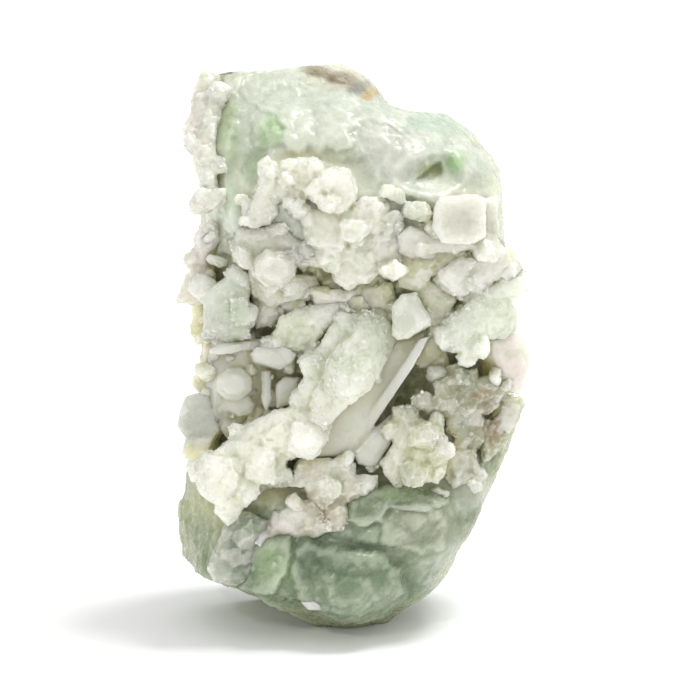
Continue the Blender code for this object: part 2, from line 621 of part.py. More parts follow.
def pushed_out(points, distance):
    """A closed outline in X and Z, with each corner moved outwards by that distance."""
    before = np.roll(points, 1, axis=0)
    after = np.roll(points, -1, axis=0)
    edge_in = (points - before)[:, [0, 2]]
    edge_out = (after - points)[:, [0, 2]]
    edge_in /= np.linalg.norm(edge_in, axis=1, keepdims=True)
    edge_out /= np.linalg.norm(edge_out, axis=1, keepdims=True)
    area = np.sum(points[:, 0] * after[:, 2] - after[:, 0] * points[:, 2])
    way = 1.0 if area > 0 else -1.0
    normal = way * np.stack([edge_in[:, 1] + edge_out[:, 1], -edge_in[:, 0] - edge_out[:, 0]], axis=1)
    length = np.maximum(np.linalg.norm(normal, axis=1, keepdims=True), 1.0)
    moved = points.copy()
    moved[:, [0, 2]] += normal / length**2 * 2 * distance
    return moved


def slab_shape(spec, grow):
    """An outline carried from a leaning, bevelled front back along the line of sight, and drawn in by TAPER."""
    outline = np.array([seen_at(pixel, spec["front"]) for pixel in spec["slab"]])
    outline = pushed_out(outline, grow)
    bevel = spec["bevel"]
    back = np.array([seen_at(pixel, spec["back"] + grow) for pixel in spec["slab"]])
    middle = back.mean(axis=0)
    back = pushed_out(middle + (back - middle) * TAPER, grow)
    back += np.array([spec.get("tuck", 0.0), 0.0, 0.0])
    shoulder = front_at(spec, outline, bevel - grow)
    front = front_at(spec, pushed_out(outline, -bevel), -grow)
    sides = len(outline)
    faces = [tuple(range(sides)), tuple(range(2 * sides, 3 * sides))]
    for base in (0, sides):
        for i in range(sides):
            j = (i + 1) % sides
            faces.append((base + i, base + j, base + sides + j))
            faces.append((base + i, base + sides + j, base + sides + i))
    return np.vstack([back, shoulder, front]), faces


def inside_outline(point, outline):
    """Whether a point in X and Z is inside the outline: a ray to the right crosses it an odd number of times."""
    after = np.roll(outline, -1, axis=0)
    straddles = (outline[:, 2] > point[2]) != (after[:, 2] > point[2])
    rise = np.where(straddles, after[:, 2] - outline[:, 2], 1.0)
    crossing = outline[:, 0] + (point[2] - outline[:, 2]) / rise * (after[:, 0] - outline[:, 0])
    return bool(np.count_nonzero(straddles & (crossing > point[0])) % 2)


def knobs(spec):
    """Small lumps spread over a slab's front, as far apart as their number allows."""
    outline = np.array([seen_at(pixel, spec["front"]) for pixel in spec["slab"]])
    low, high = outline.min(axis=0), outline.max(axis=0)
    rng = np.random.default_rng(spec["seed"])
    inner = pushed_out(outline, -1.6)
    tries = [p for p in low + rng.random((400, 3)) * (high - low) if inside_outline(p, inner)]
    chosen = [tries[0]]
    while len(chosen) < spec["lumps"]:
        gaps = [min(np.linalg.norm((p - c)[[0, 2]]) for c in chosen) for p in tries]
        chosen.append(tries[int(np.argmax(gaps))])
    for number, place in enumerate(front_at(spec, np.array(chosen), 0.6)):
        size = KNOB_SIZE[0] + (KNOB_SIZE[1] - KNOB_SIZE[0]) * rng.random(3)
        yield dict(place=place, size=tuple(size), turn=360 * rng.random(), seed=spec["seed"] * 20 + number)


def lump_shape(spec, grow):
    """A lump of grown-together crystals: flat faces between points spread evenly over a rounded block."""
    number = np.arange(LUMP_POINTS)
    rise = 1 - (2 * number + 1) / LUMP_POINTS
    turn = number * math.pi * (3 - math.sqrt(5)) + spec["seed"]
    ring = np.sqrt(1 - rise**2)
    ball = np.stack([ring * np.cos(turn), ring * np.sin(turn), rise], axis=1)
    ball /= (np.abs(ball) ** LUMP_POWER).sum(axis=1, keepdims=True) ** (1 / LUMP_POWER)
    uneven = 1 + LUMP_UNEVEN * (2 * lattice_value(np.stack([number] * 3, axis=1), spec["seed"]) - 1)
    points = ball * (np.array(spec["size"]) * uneven[:, None] + grow)
    slant = -math.radians(spec["turn"])
    cos, sin = math.cos(slant), math.sin(slant)
    tilted = np.stack(
        [cos * points[:, 0] + sin * points[:, 2], points[:, 1], cos * points[:, 2] - sin * points[:, 0]], axis=1
    )
    place = spec["place"] if "place" in spec else seen_at(*spec["lump"])
    return tilted + place, None


def shape_object(name, spec, grow=0.0):
    build = prism_shape if "prism" in spec else slab_shape if "slab" in spec else lump_shape
    vertices, faces = build(spec, grow)
    obj = mesh_object(name, vertices, faces or [])
    close_up(obj, hull=faces is None)
    return obj


def close_up(obj, hull):
    """Triangles that face outwards, and for bare points the flat faces of their hull."""
    work = bmesh.new()
    work.from_mesh(obj.data)
    if hull:
        made = bmesh.ops.convex_hull(work, input=work.verts[:])
        bmesh.ops.delete(work, geom=list(set(made["geom_interior"] + made["geom_unused"])), context="VERTS")
    bmesh.ops.triangulate(work, faces=work.faces[:])
    bmesh.ops.recalc_face_normals(work, faces=work.faces[:])
    work.to_mesh(obj.data)
    work.free()


def combine(obj, other, operation):
    """Applies a Boolean of obj with other to obj's mesh, and removes other. EXACT loses the mass at one cut."""
    modifier = obj.modifiers.new("join_or_cut", "BOOLEAN")
    modifier.operation = operation
    modifier.solver = "MANIFOLD"
    modifier.object = other
    graph = bpy.context.evaluated_depsgraph_get()
    made = bpy.data.meshes.new_from_object(obj.evaluated_get(graph))
    obj.modifiers.clear()
    obj.data = made
    bpy.data.objects.remove(other)


def group_solid(name, grow=0.0):
    """All the shapes of one group joined in one solid."""
    shapes = []
    for spec in GROUPS[name]:
        shapes.append(spec)
        if "lumps" in spec:
            shapes.extend(knobs(spec))
    solid = shape_object(name if grow == 0 else name + "_socket", shapes[0], grow)
    for spec in shapes[1:]:
        combine(solid, shape_object("shape", spec, grow), "UNION")
    return solid


def near(a, b):
    """Whether the boxes of two objects meet."""
    corners = [np.array([v.co for v in o.data.vertices]) for o in (a, b)]
    low = np.maximum(corners[0].min(axis=0), corners[1].min(axis=0))
    high = np.minimum(corners[0].max(axis=0), corners[1].max(axis=0))
    return bool((low < high).all())


def keep_largest_body(obj):
    """Deletes the chips that a cut leaves beside the main body."""
    work = bmesh.new()
    work.from_mesh(obj.data)
    left = set(work.faces)
    bodies = []
    while left:
        body, front = [], [left.pop()]
        while front:
            face = front.pop()
            body.append(face)
            for edge in face.edges:
                for other in edge.link_faces:
                    if other in left:
                        left.discard(other)
                        front.append(other)
        bodies.append(body)
    bodies.sort(key=len, reverse=True)
    chips = [f for body in bodies[1:] for f in body]
    bmesh.ops.delete(work, geom=chips, context="FACES")
    bmesh.ops.dissolve_limit(
        work, angle_limit=FLAT_WITHIN, verts=work.verts[:], edges=work.edges[:], delimit={"NORMAL"}
    )
    bmesh.ops.triangulate(work, faces=work.faces[:])
    work.to_mesh(obj.data)
    work.free()


def main():
    for obj in list(bpy.data.objects):
        bpy.data.objects.remove(obj)
    mass = make_mass()
    placed = []
    for name in GROUPS:
        solid = group_solid(name)
        for other in placed:
            if near(solid, other):
                combine(solid, group_solid(other.name, GAP), "DIFFERENCE")
        keep_largest_body(solid)
        placed.append(solid)
    for name in GROUPS:
        combine(mass, group_solid(name, GAP), "DIFFERENCE")
    keep_largest_body(mass)
    for solid in [mass, *placed]:
        stone(solid)


main()
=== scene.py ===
# Prehnite specimen: a green, lumpy prehnite mass with pale crystals grown over its front.
# Shapes are worked out in mm and go into the meshes in metres. A place is a pixel of the 700 px
# photograph and a depth in mm, so a shape lies where the photograph shows it.

import math

import bmesh
import bpy
import numpy as np
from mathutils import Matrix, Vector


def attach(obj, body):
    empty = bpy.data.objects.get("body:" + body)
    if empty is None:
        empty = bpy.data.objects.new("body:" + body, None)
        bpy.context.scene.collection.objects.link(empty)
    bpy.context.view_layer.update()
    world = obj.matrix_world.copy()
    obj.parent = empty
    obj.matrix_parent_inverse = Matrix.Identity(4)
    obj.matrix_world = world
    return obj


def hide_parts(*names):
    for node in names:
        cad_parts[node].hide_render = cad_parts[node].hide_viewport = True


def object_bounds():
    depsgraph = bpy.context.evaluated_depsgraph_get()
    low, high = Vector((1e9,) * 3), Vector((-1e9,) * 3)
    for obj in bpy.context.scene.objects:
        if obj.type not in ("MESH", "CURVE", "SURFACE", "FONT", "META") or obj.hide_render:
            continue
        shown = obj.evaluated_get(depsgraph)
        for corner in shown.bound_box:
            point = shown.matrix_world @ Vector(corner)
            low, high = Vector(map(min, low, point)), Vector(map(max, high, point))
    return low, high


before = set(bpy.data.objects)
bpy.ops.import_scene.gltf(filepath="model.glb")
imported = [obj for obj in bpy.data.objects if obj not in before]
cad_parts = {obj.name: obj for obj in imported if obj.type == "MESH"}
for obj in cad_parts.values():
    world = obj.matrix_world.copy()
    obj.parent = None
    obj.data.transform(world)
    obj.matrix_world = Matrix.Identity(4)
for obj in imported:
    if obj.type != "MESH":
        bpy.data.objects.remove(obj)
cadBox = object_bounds()
mm = 0.001

# view
view = dict(side=700, pixelsPerMm=5.6, distance=600.0, tilt=math.radians(12.0), aimHeight=49.0, sensor=36.0)
focal = view["pixelsPerMm"] * view["distance"]
tiltCos, tiltSin = math.cos(view["tilt"]), math.sin(view["tilt"])
eye = np.array([0.0, -view["distance"] * tiltCos, view["aimHeight"] + view["distance"] * tiltSin])


def seenAt(pixels, depth):
    # the line of sight through each pixel, cut at that depth along Y
    pixels = np.asarray(pixels, float)
    right = (pixels[..., 0] - view["side"] / 2) / focal
    up = (view["side"] / 2 - pixels[..., 1]) / focal
    ray = np.stack([right, tiltCos + up * tiltSin, up * tiltCos - tiltSin], axis=-1)
    return eye + ray * ((depth - eye[1]) / ray[..., 1])[..., None]


def pixelOf(points):
    # the pixel that shows each point: its offset from the eye along the picture's axes, over its distance
    offset = points - eye
    ahead = offset[..., 1] * tiltCos - offset[..., 2] * tiltSin
    up = offset[..., 1] * tiltSin + offset[..., 2] * tiltCos
    return np.stack([view["side"] / 2 + focal * offset[..., 0] / ahead, view["side"] / 2 - focal * up / ahead], -1)


# noise
def smoothStep(low, high, value):
    # 0 at low and 1 at high, with level ends
    t = np.clip((value - low) / (high - low), 0.0, 1.0)
    return t * t * (3.0 - 2.0 * t)


def latticeValue(cell, seed):
    # the fraction of a large sine of the cell's whole-number place: a fixed value from 0 to 1
    mixed = cell[..., 0] * 127.1 + cell[..., 1] * 311.7 + cell[..., 2] * 74.7 + seed * 53.3
    return np.modf(np.abs(np.sin(mixed) * 43758.5453))[0]


def noise(points, size, seed):
    # values on a lattice of that size in mm, blended smoothly between its eight nearest points: -1 to 1
    scaled = points / size
    base = np.floor(scaled)
    t = scaled - base
    t = t * t * (3.0 - 2.0 * t)
    total = np.zeros(points.shape[:-1])
    for corner in np.ndindex(2, 2, 2):
        weight = np.prod(np.where(corner, t, 1.0 - t), axis=-1)
        total += weight * latticeValue(base + corner, seed)
    return total * 2.0 - 1.0


def layered(points, size, seed, layers=3):
    # noise added to itself at half the size and half the strength each time
    return sum(noise(points, size / 2**i, seed + i) / 2**i for i in range(layers)) / 1.6


def cells(points, size, seed):
    # each point belongs to the nearest of one seed per lattice cell. Returns how far that seed is, the margin to
    # the next nearest, a flat facet with its own slant through each cell, and a value of the cell's own
    scaled = points / size
    base = np.floor(scaled)
    best = np.full(points.shape[:-1], 9.0)
    second = best.copy()
    owner = np.zeros_like(points)
    offset = np.zeros_like(points)
    for step in np.ndindex(3, 3, 3):
        cell = base + (np.array(step) - 1.0)
        place = cell + np.stack([latticeValue(cell, seed + k) for k in range(3)], -1)
        apart = scaled - place
        distance = np.sqrt((apart**2).sum(-1))
        closer = distance < best
        second = np.where(closer, best, np.minimum(second, distance))
        best = np.where(closer, distance, best)
        owner[closer] = cell[closer]
        offset[closer] = apart[closer]
    slant = np.stack([latticeValue(owner, seed + 5 + k) for k in range(3)], -1) * 2.0 - 1.0
    facet = (offset * slant).sum(-1) * size
    return best, second - best, facet, latticeValue(owner, seed + 9)


def insideBy(places, outline):
    # signed distance in pixels to a closed outline, positive inside: the nearest of its edges, signed by crossings
    outline = np.asarray(outline, float)
    nearest = np.full(places.shape[:-1], 1e9)
    inside = np.zeros(places.shape[:-1], bool)
    for a, b in zip(outline, np.roll(outline, -1, axis=0)):
        edge = b - a
        t = np.clip(((places - a) @ edge) / (edge @ edge), 0.0, 1.0)
        nearest = np.minimum(nearest, np.linalg.norm(places - a - t[..., None] * edge, axis=-1))
        straddles = (places[..., 1] < a[1]) != (places[..., 1] < b[1])
        rise = b[1] - a[1] if b[1] != a[1] else 1.0
        inside ^= straddles & (places[..., 0] < a[0] + (places[..., 1] - a[1]) / rise * edge[0])
    return np.where(inside, nearest, -nearest)


# meshes
def putMesh(name, points, quads, triangles=None, tint=None):
    # points in mm, faces as rows of point numbers, and the tint as linear colours
    mesh = bpy.data.meshes.new(name)
    corners = np.asarray(quads, np.int32).reshape(-1)
    sizes = np.full(len(corners) // 4, 4, np.int32)
    if triangles is not None and len(triangles):
        corners = np.concatenate([corners, np.asarray(triangles, np.int32).reshape(-1)])
        sizes = np.concatenate([sizes, np.full(len(triangles), 3, np.int32)])
    mesh.vertices.add(len(points))
    mesh.vertices.foreach_set("co", (np.asarray(points) * mm).astype(np.float32).ravel())
    mesh.loops.add(len(corners))
    mesh.loops.foreach_set("vertex_index", corners)
    mesh.polygons.add(len(sizes))
    mesh.polygons.foreach_set("loop_start", np.concatenate([[0], np.cumsum(sizes)[:-1]]).astype(np.int32))
    mesh.polygons.foreach_set("loop_total", sizes)
    mesh.update(calc_edges=True)
    mesh.validate()
    piece = bpy.data.objects.new(name, mesh)
    bpy.context.scene.collection.objects.link(piece)
    if tint is not None:
        setTint(piece, tint)
    return piece


coloured = []  # every stone piece with its points, its tint, and how strongly it takes the painted crease and crevice shade and the painted edge and crest highlights


def setTint(piece, tint):
    layer = piece.data.attributes.new("tint", "FLOAT_COLOR", "POINT")
    rgba = np.concatenate([tint, np.ones((len(tint), 1))], axis=1)
    layer.data.foreach_set("color", rgba.astype(np.float32).ravel())


def meshArrays(mesh):
    # the points in mm and the point normals of a mesh
    count = len(mesh.vertices)
    points = np.empty(count * 3, np.float32)
    mesh.vertices.foreach_get("co", points)
    normals = np.empty(count * 3, np.float32)
    mesh.vertex_normals.foreach_get("vector", normals)
    return points.reshape(-1, 3).astype(float) / mm, normals.reshape(-1, 3).astype(float)


def gridFaces(rows, around):
    # quads between the rows of a grid that closes on itself, and a fan to a point at each end
    row = np.arange(rows - 1)[:, None] * around
    i = np.arange(around)[None, :]
    j = (i + 1) % around
    quads = np.stack([row + i, row + j, row + around + j, row + around + i], -1).reshape(-1, 4)
    i, j = i.ravel(), j.ravel()
    last = (rows - 1) * around
    bottom = np.stack([np.full(around, rows * around), j, i], -1)
    top = np.stack([np.full(around, rows * around + 1), last + i, last + j], -1)
    return quads, np.concatenate([bottom, top])


def gridNormals(grid):
    # the cross product of the steps around and up a closed grid
    around = np.roll(grid, -1, axis=1) - np.roll(grid, 1, axis=1)
    up = np.gradient(grid, axis=0)
    normal = np.cross(around, up)
    return normal / np.maximum(np.linalg.norm(normal, axis=-1, keepdims=True), 1e-9)


# the mass
mass = dict(
    around=(236, 116),  # columns over the front half and the back half
    rows=278,
    cornerPower=2.7,
    floorDip=3.0,
    roughness=0.9,
    seed=11,
    sections=[  # height, left, right, front, back in mm, from the bottom up
        (-4.0, -8.0, 6.0, -3.0, 10.0), (-1.5, -16.0, 8.5, -6.5, 15.0), (3.0, -26.5, 12.0, -12.0, 17.0),
        (8.0, -29.3, 16.5, -17.0, 18.5), (14.0, -29.5, 19.7, -19.5, 19.5), (20.0, -29.3, 23.2, -19.0, 20.5),
        (26.0, -28.4, 26.0, -16.0, 21.0), (32.0, -27.4, 28.6, -12.5, 21.5), (39.0, -26.6, 29.4, -10.0, 22.0),
        (46.0, -26.4, 29.4, -9.5, 22.5), (53.0, -26.0, 28.8, -10.0, 22.5), (60.0, -25.8, 27.5, -11.0, 22.5),
        (67.0, -26.0, 26.5, -13.0, 22.5), (72.0, -26.0, 26.3, -16.5, 22.0), (78.0, -26.6, 26.2, -16.5, 21.5),
        (83.0, -28.0, 24.8, -13.0, 21.0), (88.0, -29.2, 20.5, -8.5, 20.0), (92.0, -28.6, 12.5, -4.0, 19.0),
        (95.0, -29.0, 6.0, 0.0, 18.0), (97.8, -28.0, 2.0, 4.0, 16.0), (99.2, -25.0, -2.0, 7.0, 14.0),
    ],
    relief=[  # lumps and hollows of the front: pixel, reach in mm, push in mm
        ((330, 284), (9.0, 4.5), -1.5), ((425, 268), (7.0, 4.5), -0.5), ((404, 392), (5.5, 6.0), -4.0),
        ((262, 385), (9.0, 8.0), 2.0), ((232, 330), (6.0, 10.0), 3.0), ((352, 300), (6.0, 6.0), 2.5),
        ((440, 320), (5.0, 8.0), 1.5), ((268, 498), (6.0, 3.0), 1.2), ((275, 300), (5.0, 6.0), 2.0), ((352, 585), (9.0, 8.5), 4.0), ((284, 575), (5.0, 6.0), 3.2),
        ((200, 560), (4.0, 8.0), 1.0), ((385, 505), (12.0, 4.6), 3.4), ((360, 530), (8.5, 4.5), 2.4),
        ((440, 548), (8.0, 6.0), 2.4), ((425, 590), (6.0, 5.0), 1.6), ((248, 178), (3.6, 10.0), -2.6),
        ((285, 130), (5.0, 5.0), 2.2), ((345, 130), (8.0, 5.5), 2.6), ((400, 145), (8.5, 8.0), 2.8),
        ((432, 174), (6.0, 3.2), -2.6), ((470, 160), (4.0, 4.0), 1.8), ((415, 212), (4.0, 3.4), -2.0),
        ((228, 250), (4.0, 10.0), 1.5),
    ],
    brokenFaces=[  # outward direction and distance in mm
        ((-1.0, -0.35, 0.05), 28.2), ((-0.8, 0.75, 0.0), 30.5), ((0.75, 0.75, 0.05), 33.0),
        ((0.25, 1.0, -0.1), 19.5), ((-0.3, 1.0, 0.25), 32.0), ((0.35, 1.0, 0.45), 48.6),
        ((-0.35, 1.0, -0.4), 12.8), ((-0.5, 1.0, 0.1), 29.4), ((0.3, 1.0, -0.3), 14.0),
        ((0.65, 0.1, -0.65), 4.4), ((0.55, 0.45, 0.75), 81.0), ((0.8, -0.6, 0.1), 32.5),
    ],
    dents=[((8.0, 9.0, 95.0), 12.0, -3.6), ((-14.0, 12.0, 99.0), 8.0, -1.0)],
    ledges=[  # raised or sunk patches of the front: outline in pixels, rise in mm, width of the step in pixels
        dict(  # the cap's crust, down to its scalloped edge
            outline=[(232, 66), (300, 58), (376, 90), (420, 108), (398, 127), (372, 117), (358, 122), (350, 133),
                     (352, 145), (338, 152), (326, 147), (319, 153), (308, 146), (299, 153), (289, 150),
                     (281, 140), (284, 127), (276, 117), (262, 110), (250, 100), (238, 88)],
            rise=0.8, step=7, wave=4.0,
        ),
        dict(  # the bright green plate at the crust's left end
            outline=[(263, 113), (285, 118), (281, 132), (283, 141), (274, 146), (264, 150), (254, 145), (254, 126)],
            rise=0.5, step=6, wave=3.0,
        ),
        dict(  # the smooth window of the cap
            outline=[(350, 131), (359, 121), (372, 117), (392, 119), (402, 128), (412, 143), (417, 157), (428, 166),
                     (417, 179), (398, 181), (381, 176), (370, 157), (359, 144)],
            rise=-0.25, step=8, wave=4.0,
        ),
        dict(  # the green notch under the window
            outline=[(415, 181), (428, 171), (441, 163), (441, 176), (431, 180)],
            rise=-1.6, step=5, wave=2.0,
        ),
        dict(  # the grey facet below the window
            outline=[(398, 193), (412, 197), (423, 207), (434, 210), (430, 229), (417, 222), (409, 210)],
            rise=-0.8, step=5, wave=2.0,
        ),
        dict(  # the white triangle at the top left
            outline=[(222, 74), (243, 77), (236, 95), (228, 92)],
            rise=0.6, step=3, wave=1.0,
        ),
        dict(  # the translucent lens at the lower right
            outline=[(382, 520), (392, 506), (420, 502), (440, 512), (446, 524), (442, 546), (420, 554), (398, 546),
                     (384, 540)],
            rise=0.9, step=7, wave=4.0,
        ),
        dict(  # the broad green swell above it
            outline=[(345, 520), (352, 500), (372, 486), (400, 484), (430, 492), (446, 500), (438, 508), (392, 505),
                     (380, 520), (362, 524)],
            rise=1.6, step=8, wave=3.0,
        ),
        dict(  # the bright green heart at the bottom
            outline=[(256, 590), (238, 588), (246, 562), (252, 545), (264, 536), (288, 538), (292, 552), (286, 572),
                     (272, 590)],
            rise=2.2, step=7, wave=3.0,
        ),
        dict(  # the largest bottom lump
            outline=[(290, 570), (294, 546), (308, 540), (326, 546), (350, 548), (380, 552), (400, 568), (404, 592),
                     (380, 616), (345, 622), (316, 610), (300, 596)],
            rise=2.0, step=8, wave=3.0,
        ),
    ],
    skin=[  # layers of fine relief: kind, size, height in mm, where (front, back or all)
        dict(kind="domes", size=10.0, height=1.5, seed=21, where="back"),
        dict(kind="domes", size=4.6, height=0.6, seed=22, where="back"),
        dict(kind="facets", size=2.6, height=0.22, seed=33, where="back"),
        dict(kind="domes", size=6.5, height=0.9, seed=23, where="bottom"),
        dict(kind="facets", size=3.6, height=0.16, seed=32, where="bottom"),
        dict(kind="facets", size=1.3, height=0.06, seed=30, where="bottom"),
        dict(kind="facets", size=5.0, height=0.14, seed=24, where="front"),
        dict(kind="facets", size=1.9, height=0.08, seed=25, where="front"),
        dict(kind="facets", size=3.4, height=0.8, seed=28, where="middle"),
        dict(kind="facets", size=1.6, height=0.4, seed=29, where="middle"),
        dict(kind="noise", size=2.0, height=0.11, seed=26, where="all"),
        dict(kind="noise", size=0.9, height=0.05, seed=27, where="all"),
    ],
)


def curveThrough(places, values, where):
    # a cubic Hermite curve through the values, with slopes from their neighbours
    places = np.asarray(places, float)
    values = np.asarray(values, float)
    slopes = np.gradient(values, places)
    i = np.clip(np.searchsorted(places, where) - 1, 0, len(places) - 2)
    step = places[i + 1] - places[i]
    t = (where - places[i]) / step
    return (
        values[i] * (1 + 2 * t) * (1 - t) ** 2
        + slopes[i] * step * t * (1 - t) ** 2
        + values[i + 1] * t * t * (3 - 2 * t)
        + slopes[i + 1] * step * t * t * (t - 1)
    )


def massSurface():
    # rounded cross sections: at each height a power curve between the left, right, front and back edges,
    # pushed by the relief, flattened against the broken faces, dented, roughened, and lifted off the floor
    heights = [s[0] for s in mass["sections"]]
    level = np.linspace(0.0, 1.0, mass["rows"]) ** 0.97
    height = heights[0] + level * (heights[-1] - heights[0])
    left, right, front, back = (
        curveThrough(heights, [s[k] for s in mass["sections"]], height)[:, None] for k in (1, 2, 3, 4)
    )
    frontColumns, backColumns = mass["around"]
    turn = np.concatenate([
        np.linspace(0.0, math.pi, backColumns, endpoint=False),
        np.linspace(math.pi, 2.0 * math.pi, frontColumns, endpoint=False),
    ])[None, :]
    power = mass["cornerPower"]
    boxed = (abs(np.cos(turn)) ** power + abs(np.sin(turn)) ** power) ** (-1 / power)
    across, along = boxed * np.cos(turn), boxed * np.sin(turn)
    middleX, middleY = (left + right) / 2, (front + back) / 2
    x = middleX + across * (right - left) / 2
    y = middleY + along * (back - front) / 2
    points = np.stack([x, y, np.broadcast_to(height[:, None], x.shape)], axis=-1)
    facingFront = smoothStep(0.1, 0.8, -along)
    pushed = np.zeros(x.shape)
    for pixel, reach, push in mass["relief"]:
        centre = seenAt(pixel, -12.0)
        apart = ((points[..., 0] - centre[0]) / reach[0]) ** 2 + ((points[..., 2] - centre[2]) / reach[1]) ** 2
        pushed += push * np.clip(1.0 - apart / 1.2, 0.0, 1.0) ** 1.3
    points[..., 1] -= pushed * facingFront
    for facing, distance in mass["brokenFaces"]:
        normal = np.array(facing) / np.linalg.norm(facing)
        beyond = points @ normal - distance
        points -= np.clip(beyond, 0.0, None)[..., None] * normal * 0.85
    for middle, reach, push in mass["dents"]:
        apart = np.linalg.norm(points - np.array(middle), axis=-1)
        points[..., 2] += push * smoothStep(reach, 0.0, apart)
    outward = np.stack([x - middleX, y - middleY, np.zeros_like(x)], axis=-1)
    outward /= np.maximum(np.linalg.norm(outward, axis=-1, keepdims=True), 1.0)
    rough = noise(points, 11.0, mass["seed"]) + 0.5 * noise(points, 6.0, mass["seed"] + 1)
    points += outward * rough[..., None] * mass["roughness"]
    return liftedOffFloor(points), facingFront


def liftedOffFloor(points):
    # the bottom left of the front hangs clear of the floor, and the rest reaches below it
    x, y, z = points[..., 0], points[..., 1], points[..., 2]
    hang = np.clip((-3.5 - x) / 17.0, 0.0, 1.0) ** 0.8 * smoothStep(14.0, 2.0, y)
    clearance = 11.0 * hang
    points[..., 2] = np.where(z < clearance + 3.0, np.maximum(z, clearance - mass["floorDip"] * (1 - hang)), z)
    return points


def skinHeight(points, layers, masks):
    # each layer's relief: facets are flat and slanted cell by cell and fade out at the cell's edge, domes round up
    # over each cell, noise is smooth
    height = np.zeros(points.shape[:-1])
    for layer in layers:
        if layer["kind"] == "noise":
            value = layered(points, layer["size"], layer["seed"], 2)
        else:
            near, margin, facet, own = cells(points, layer["size"], layer["seed"])
            if layer["kind"] == "domes":
                value = np.sqrt(np.clip(1.0 - near**2, 0.0, 1.0)) - 0.6
            else:
                value = (facet / layer["size"] * 2.0 + (own - 0.5) * 0.8) * smoothStep(0.0, 0.2, margin)
        height += layer["height"] * value * masks.get(layer.get("where", "all"), 1.0)
    return height


def makeMass():
    grid, facingFront = massSurface()
    seen = pixelOf(grid)
    ledge = np.zeros(grid.shape[:-1])
    ragged = layered(grid, 2.2, 31, 2)
    for spec in mass["ledges"]:
        within = insideBy(seen, spec["outline"]) + ragged * spec["wave"]
        ledge += spec["rise"] * smoothStep(-spec["step"] / 2, spec["step"] / 2, within)
    grid[..., 1] -= ledge * facingFront
    bottom = facingFront * smoothStep(36.0, 24.0, grid[..., 2])
    middle = facingFront * smoothStep(26.0, 32.0, grid[..., 2]) * smoothStep(76.0, 70.0, grid[..., 2])
    masks = {"middle": middle, "front": facingFront * (1 - 0.75 * bottom), "back": 1 - facingFront, "bottom": bottom}
    height = skinHeight(grid, mass["skin"], masks)
    grid += gridNormals(grid) * height[..., None]
    grid[..., 2] = np.maximum(grid[..., 2], 0.0)
    points = np.concatenate([grid.reshape(-1, 3), [grid[0].mean(axis=0), grid[-1].mean(axis=0)]])
    points = np.clip(points, np.array(cadBox[0]) / mm, np.array(cadBox[1]) / mm)
    quads, caps = gridFaces(*grid.shape[:2])
    piece = putMesh("greenMass", points, quads, caps)
    coloured.append((piece, points, tintOf(points, mass["tint"]), 0.3))
    return piece


# Crystal shapes
def pushedOut(points, distance):
    # a closed outline in X and Z with each corner moved outwards along the mean of its two edges' normals
    before = (points - np.roll(points, 1, axis=0))[:, [0, 2]]
    after = (np.roll(points, -1, axis=0) - points)[:, [0, 2]]
    area = np.sum(points[:, 0] * np.roll(points[:, 2], -1) - np.roll(points[:, 0], -1) * points[:, 2])
    before /= np.linalg.norm(before, axis=1, keepdims=True)
    after /= np.linalg.norm(after, axis=1, keepdims=True)
    edges = before + after
    normal = np.stack([edges[:, 1], -edges[:, 0]], axis=1) * (1.0 if area > 0 else -1.0)
    length = np.maximum(np.linalg.norm(normal, axis=1, keepdims=True), 1.0)
    moved = points.copy()
    moved[:, [0, 2]] += normal / length**2 * 2 * distance
    return moved


def slabPlane(spec, points, shift):
    # the depth of the slab's leaning front at each point, set back by shift
    middle = seenAt(np.mean(spec["slab"], axis=0), spec["front"])
    along, up = spec.get("lean", (0.0, 0.0))
    return spec["front"] + shift + along * (points[:, 0] - middle[0]) + up * (points[:, 2] - middle[2])


def slabShape(spec):
    # rings of the outline, from a narrower back to a shoulder and a front drawn in by the bevel
    outline = seenAt(spec["slab"], spec["front"])
    back = seenAt(spec["slab"], spec["back"])
    back = back.mean(axis=0) + (back - back.mean(axis=0)) * 0.85 + np.array([spec.get("tuck", 0.0), 0.0, 0.0])
    bevel = spec["bevel"]
    rings = [back]
    for inset, shift in ((0.0, 1.0), (0.3, 0.35), (1.0, 0.0)):
        ring = pushedOut(outline, -inset * bevel)
        ring[:, 1] = slabPlane(spec, ring, shift * bevel)
        rings.append(ring)
    sides = len(outline)
    faces = [list(range(sides)), list(range(3 * sides, 4 * sides))]
    for base in range(0, 3 * sides, sides):
        faces += [[base + i, base + (i + 1) % sides, base + sides + (i + 1) % sides, base + sides + i]
                  for i in range(sides)]
    return np.vstack(rings), faces


def prismShape(spec):
    # a polygon carried from root to shoulder and drawn in to its end face
    root, tip = seenAt(*spec["prism"]), seenAt(*spec["tip"])
    axis = tip - root
    length = np.linalg.norm(axis)
    axis /= length
    sight = np.array([0.0, 1.0, 0.0]) if abs(axis[1]) < 0.9 else np.array([0.0, 0.0, 1.0])
    side = np.cross(axis, sight)
    side /= np.linalg.norm(side)
    sides = spec["sides"]
    turn = (2 * math.pi * (np.arange(sides) + 0.5) / sides)[:, None] + math.radians(spec.get("roll", 0.0))
    ring = np.cos(turn) * side * spec["wide"] / 2 + np.sin(turn) * np.cross(side, axis) * spec["thick"] / 2
    shoulder = root + axis * length * (1 - spec["point"])
    rings = [root + ring, shoulder + ring, tip + ring * spec["end"]]
    faces = [list(range(sides))[::-1], list(range(2 * sides, 3 * sides))]
    for base in (0, sides):
        faces += [[base + i, base + (i + 1) % sides, base + sides + (i + 1) % sides, base + sides + i]
                  for i in range(sides)]
    return np.vstack(rings), faces


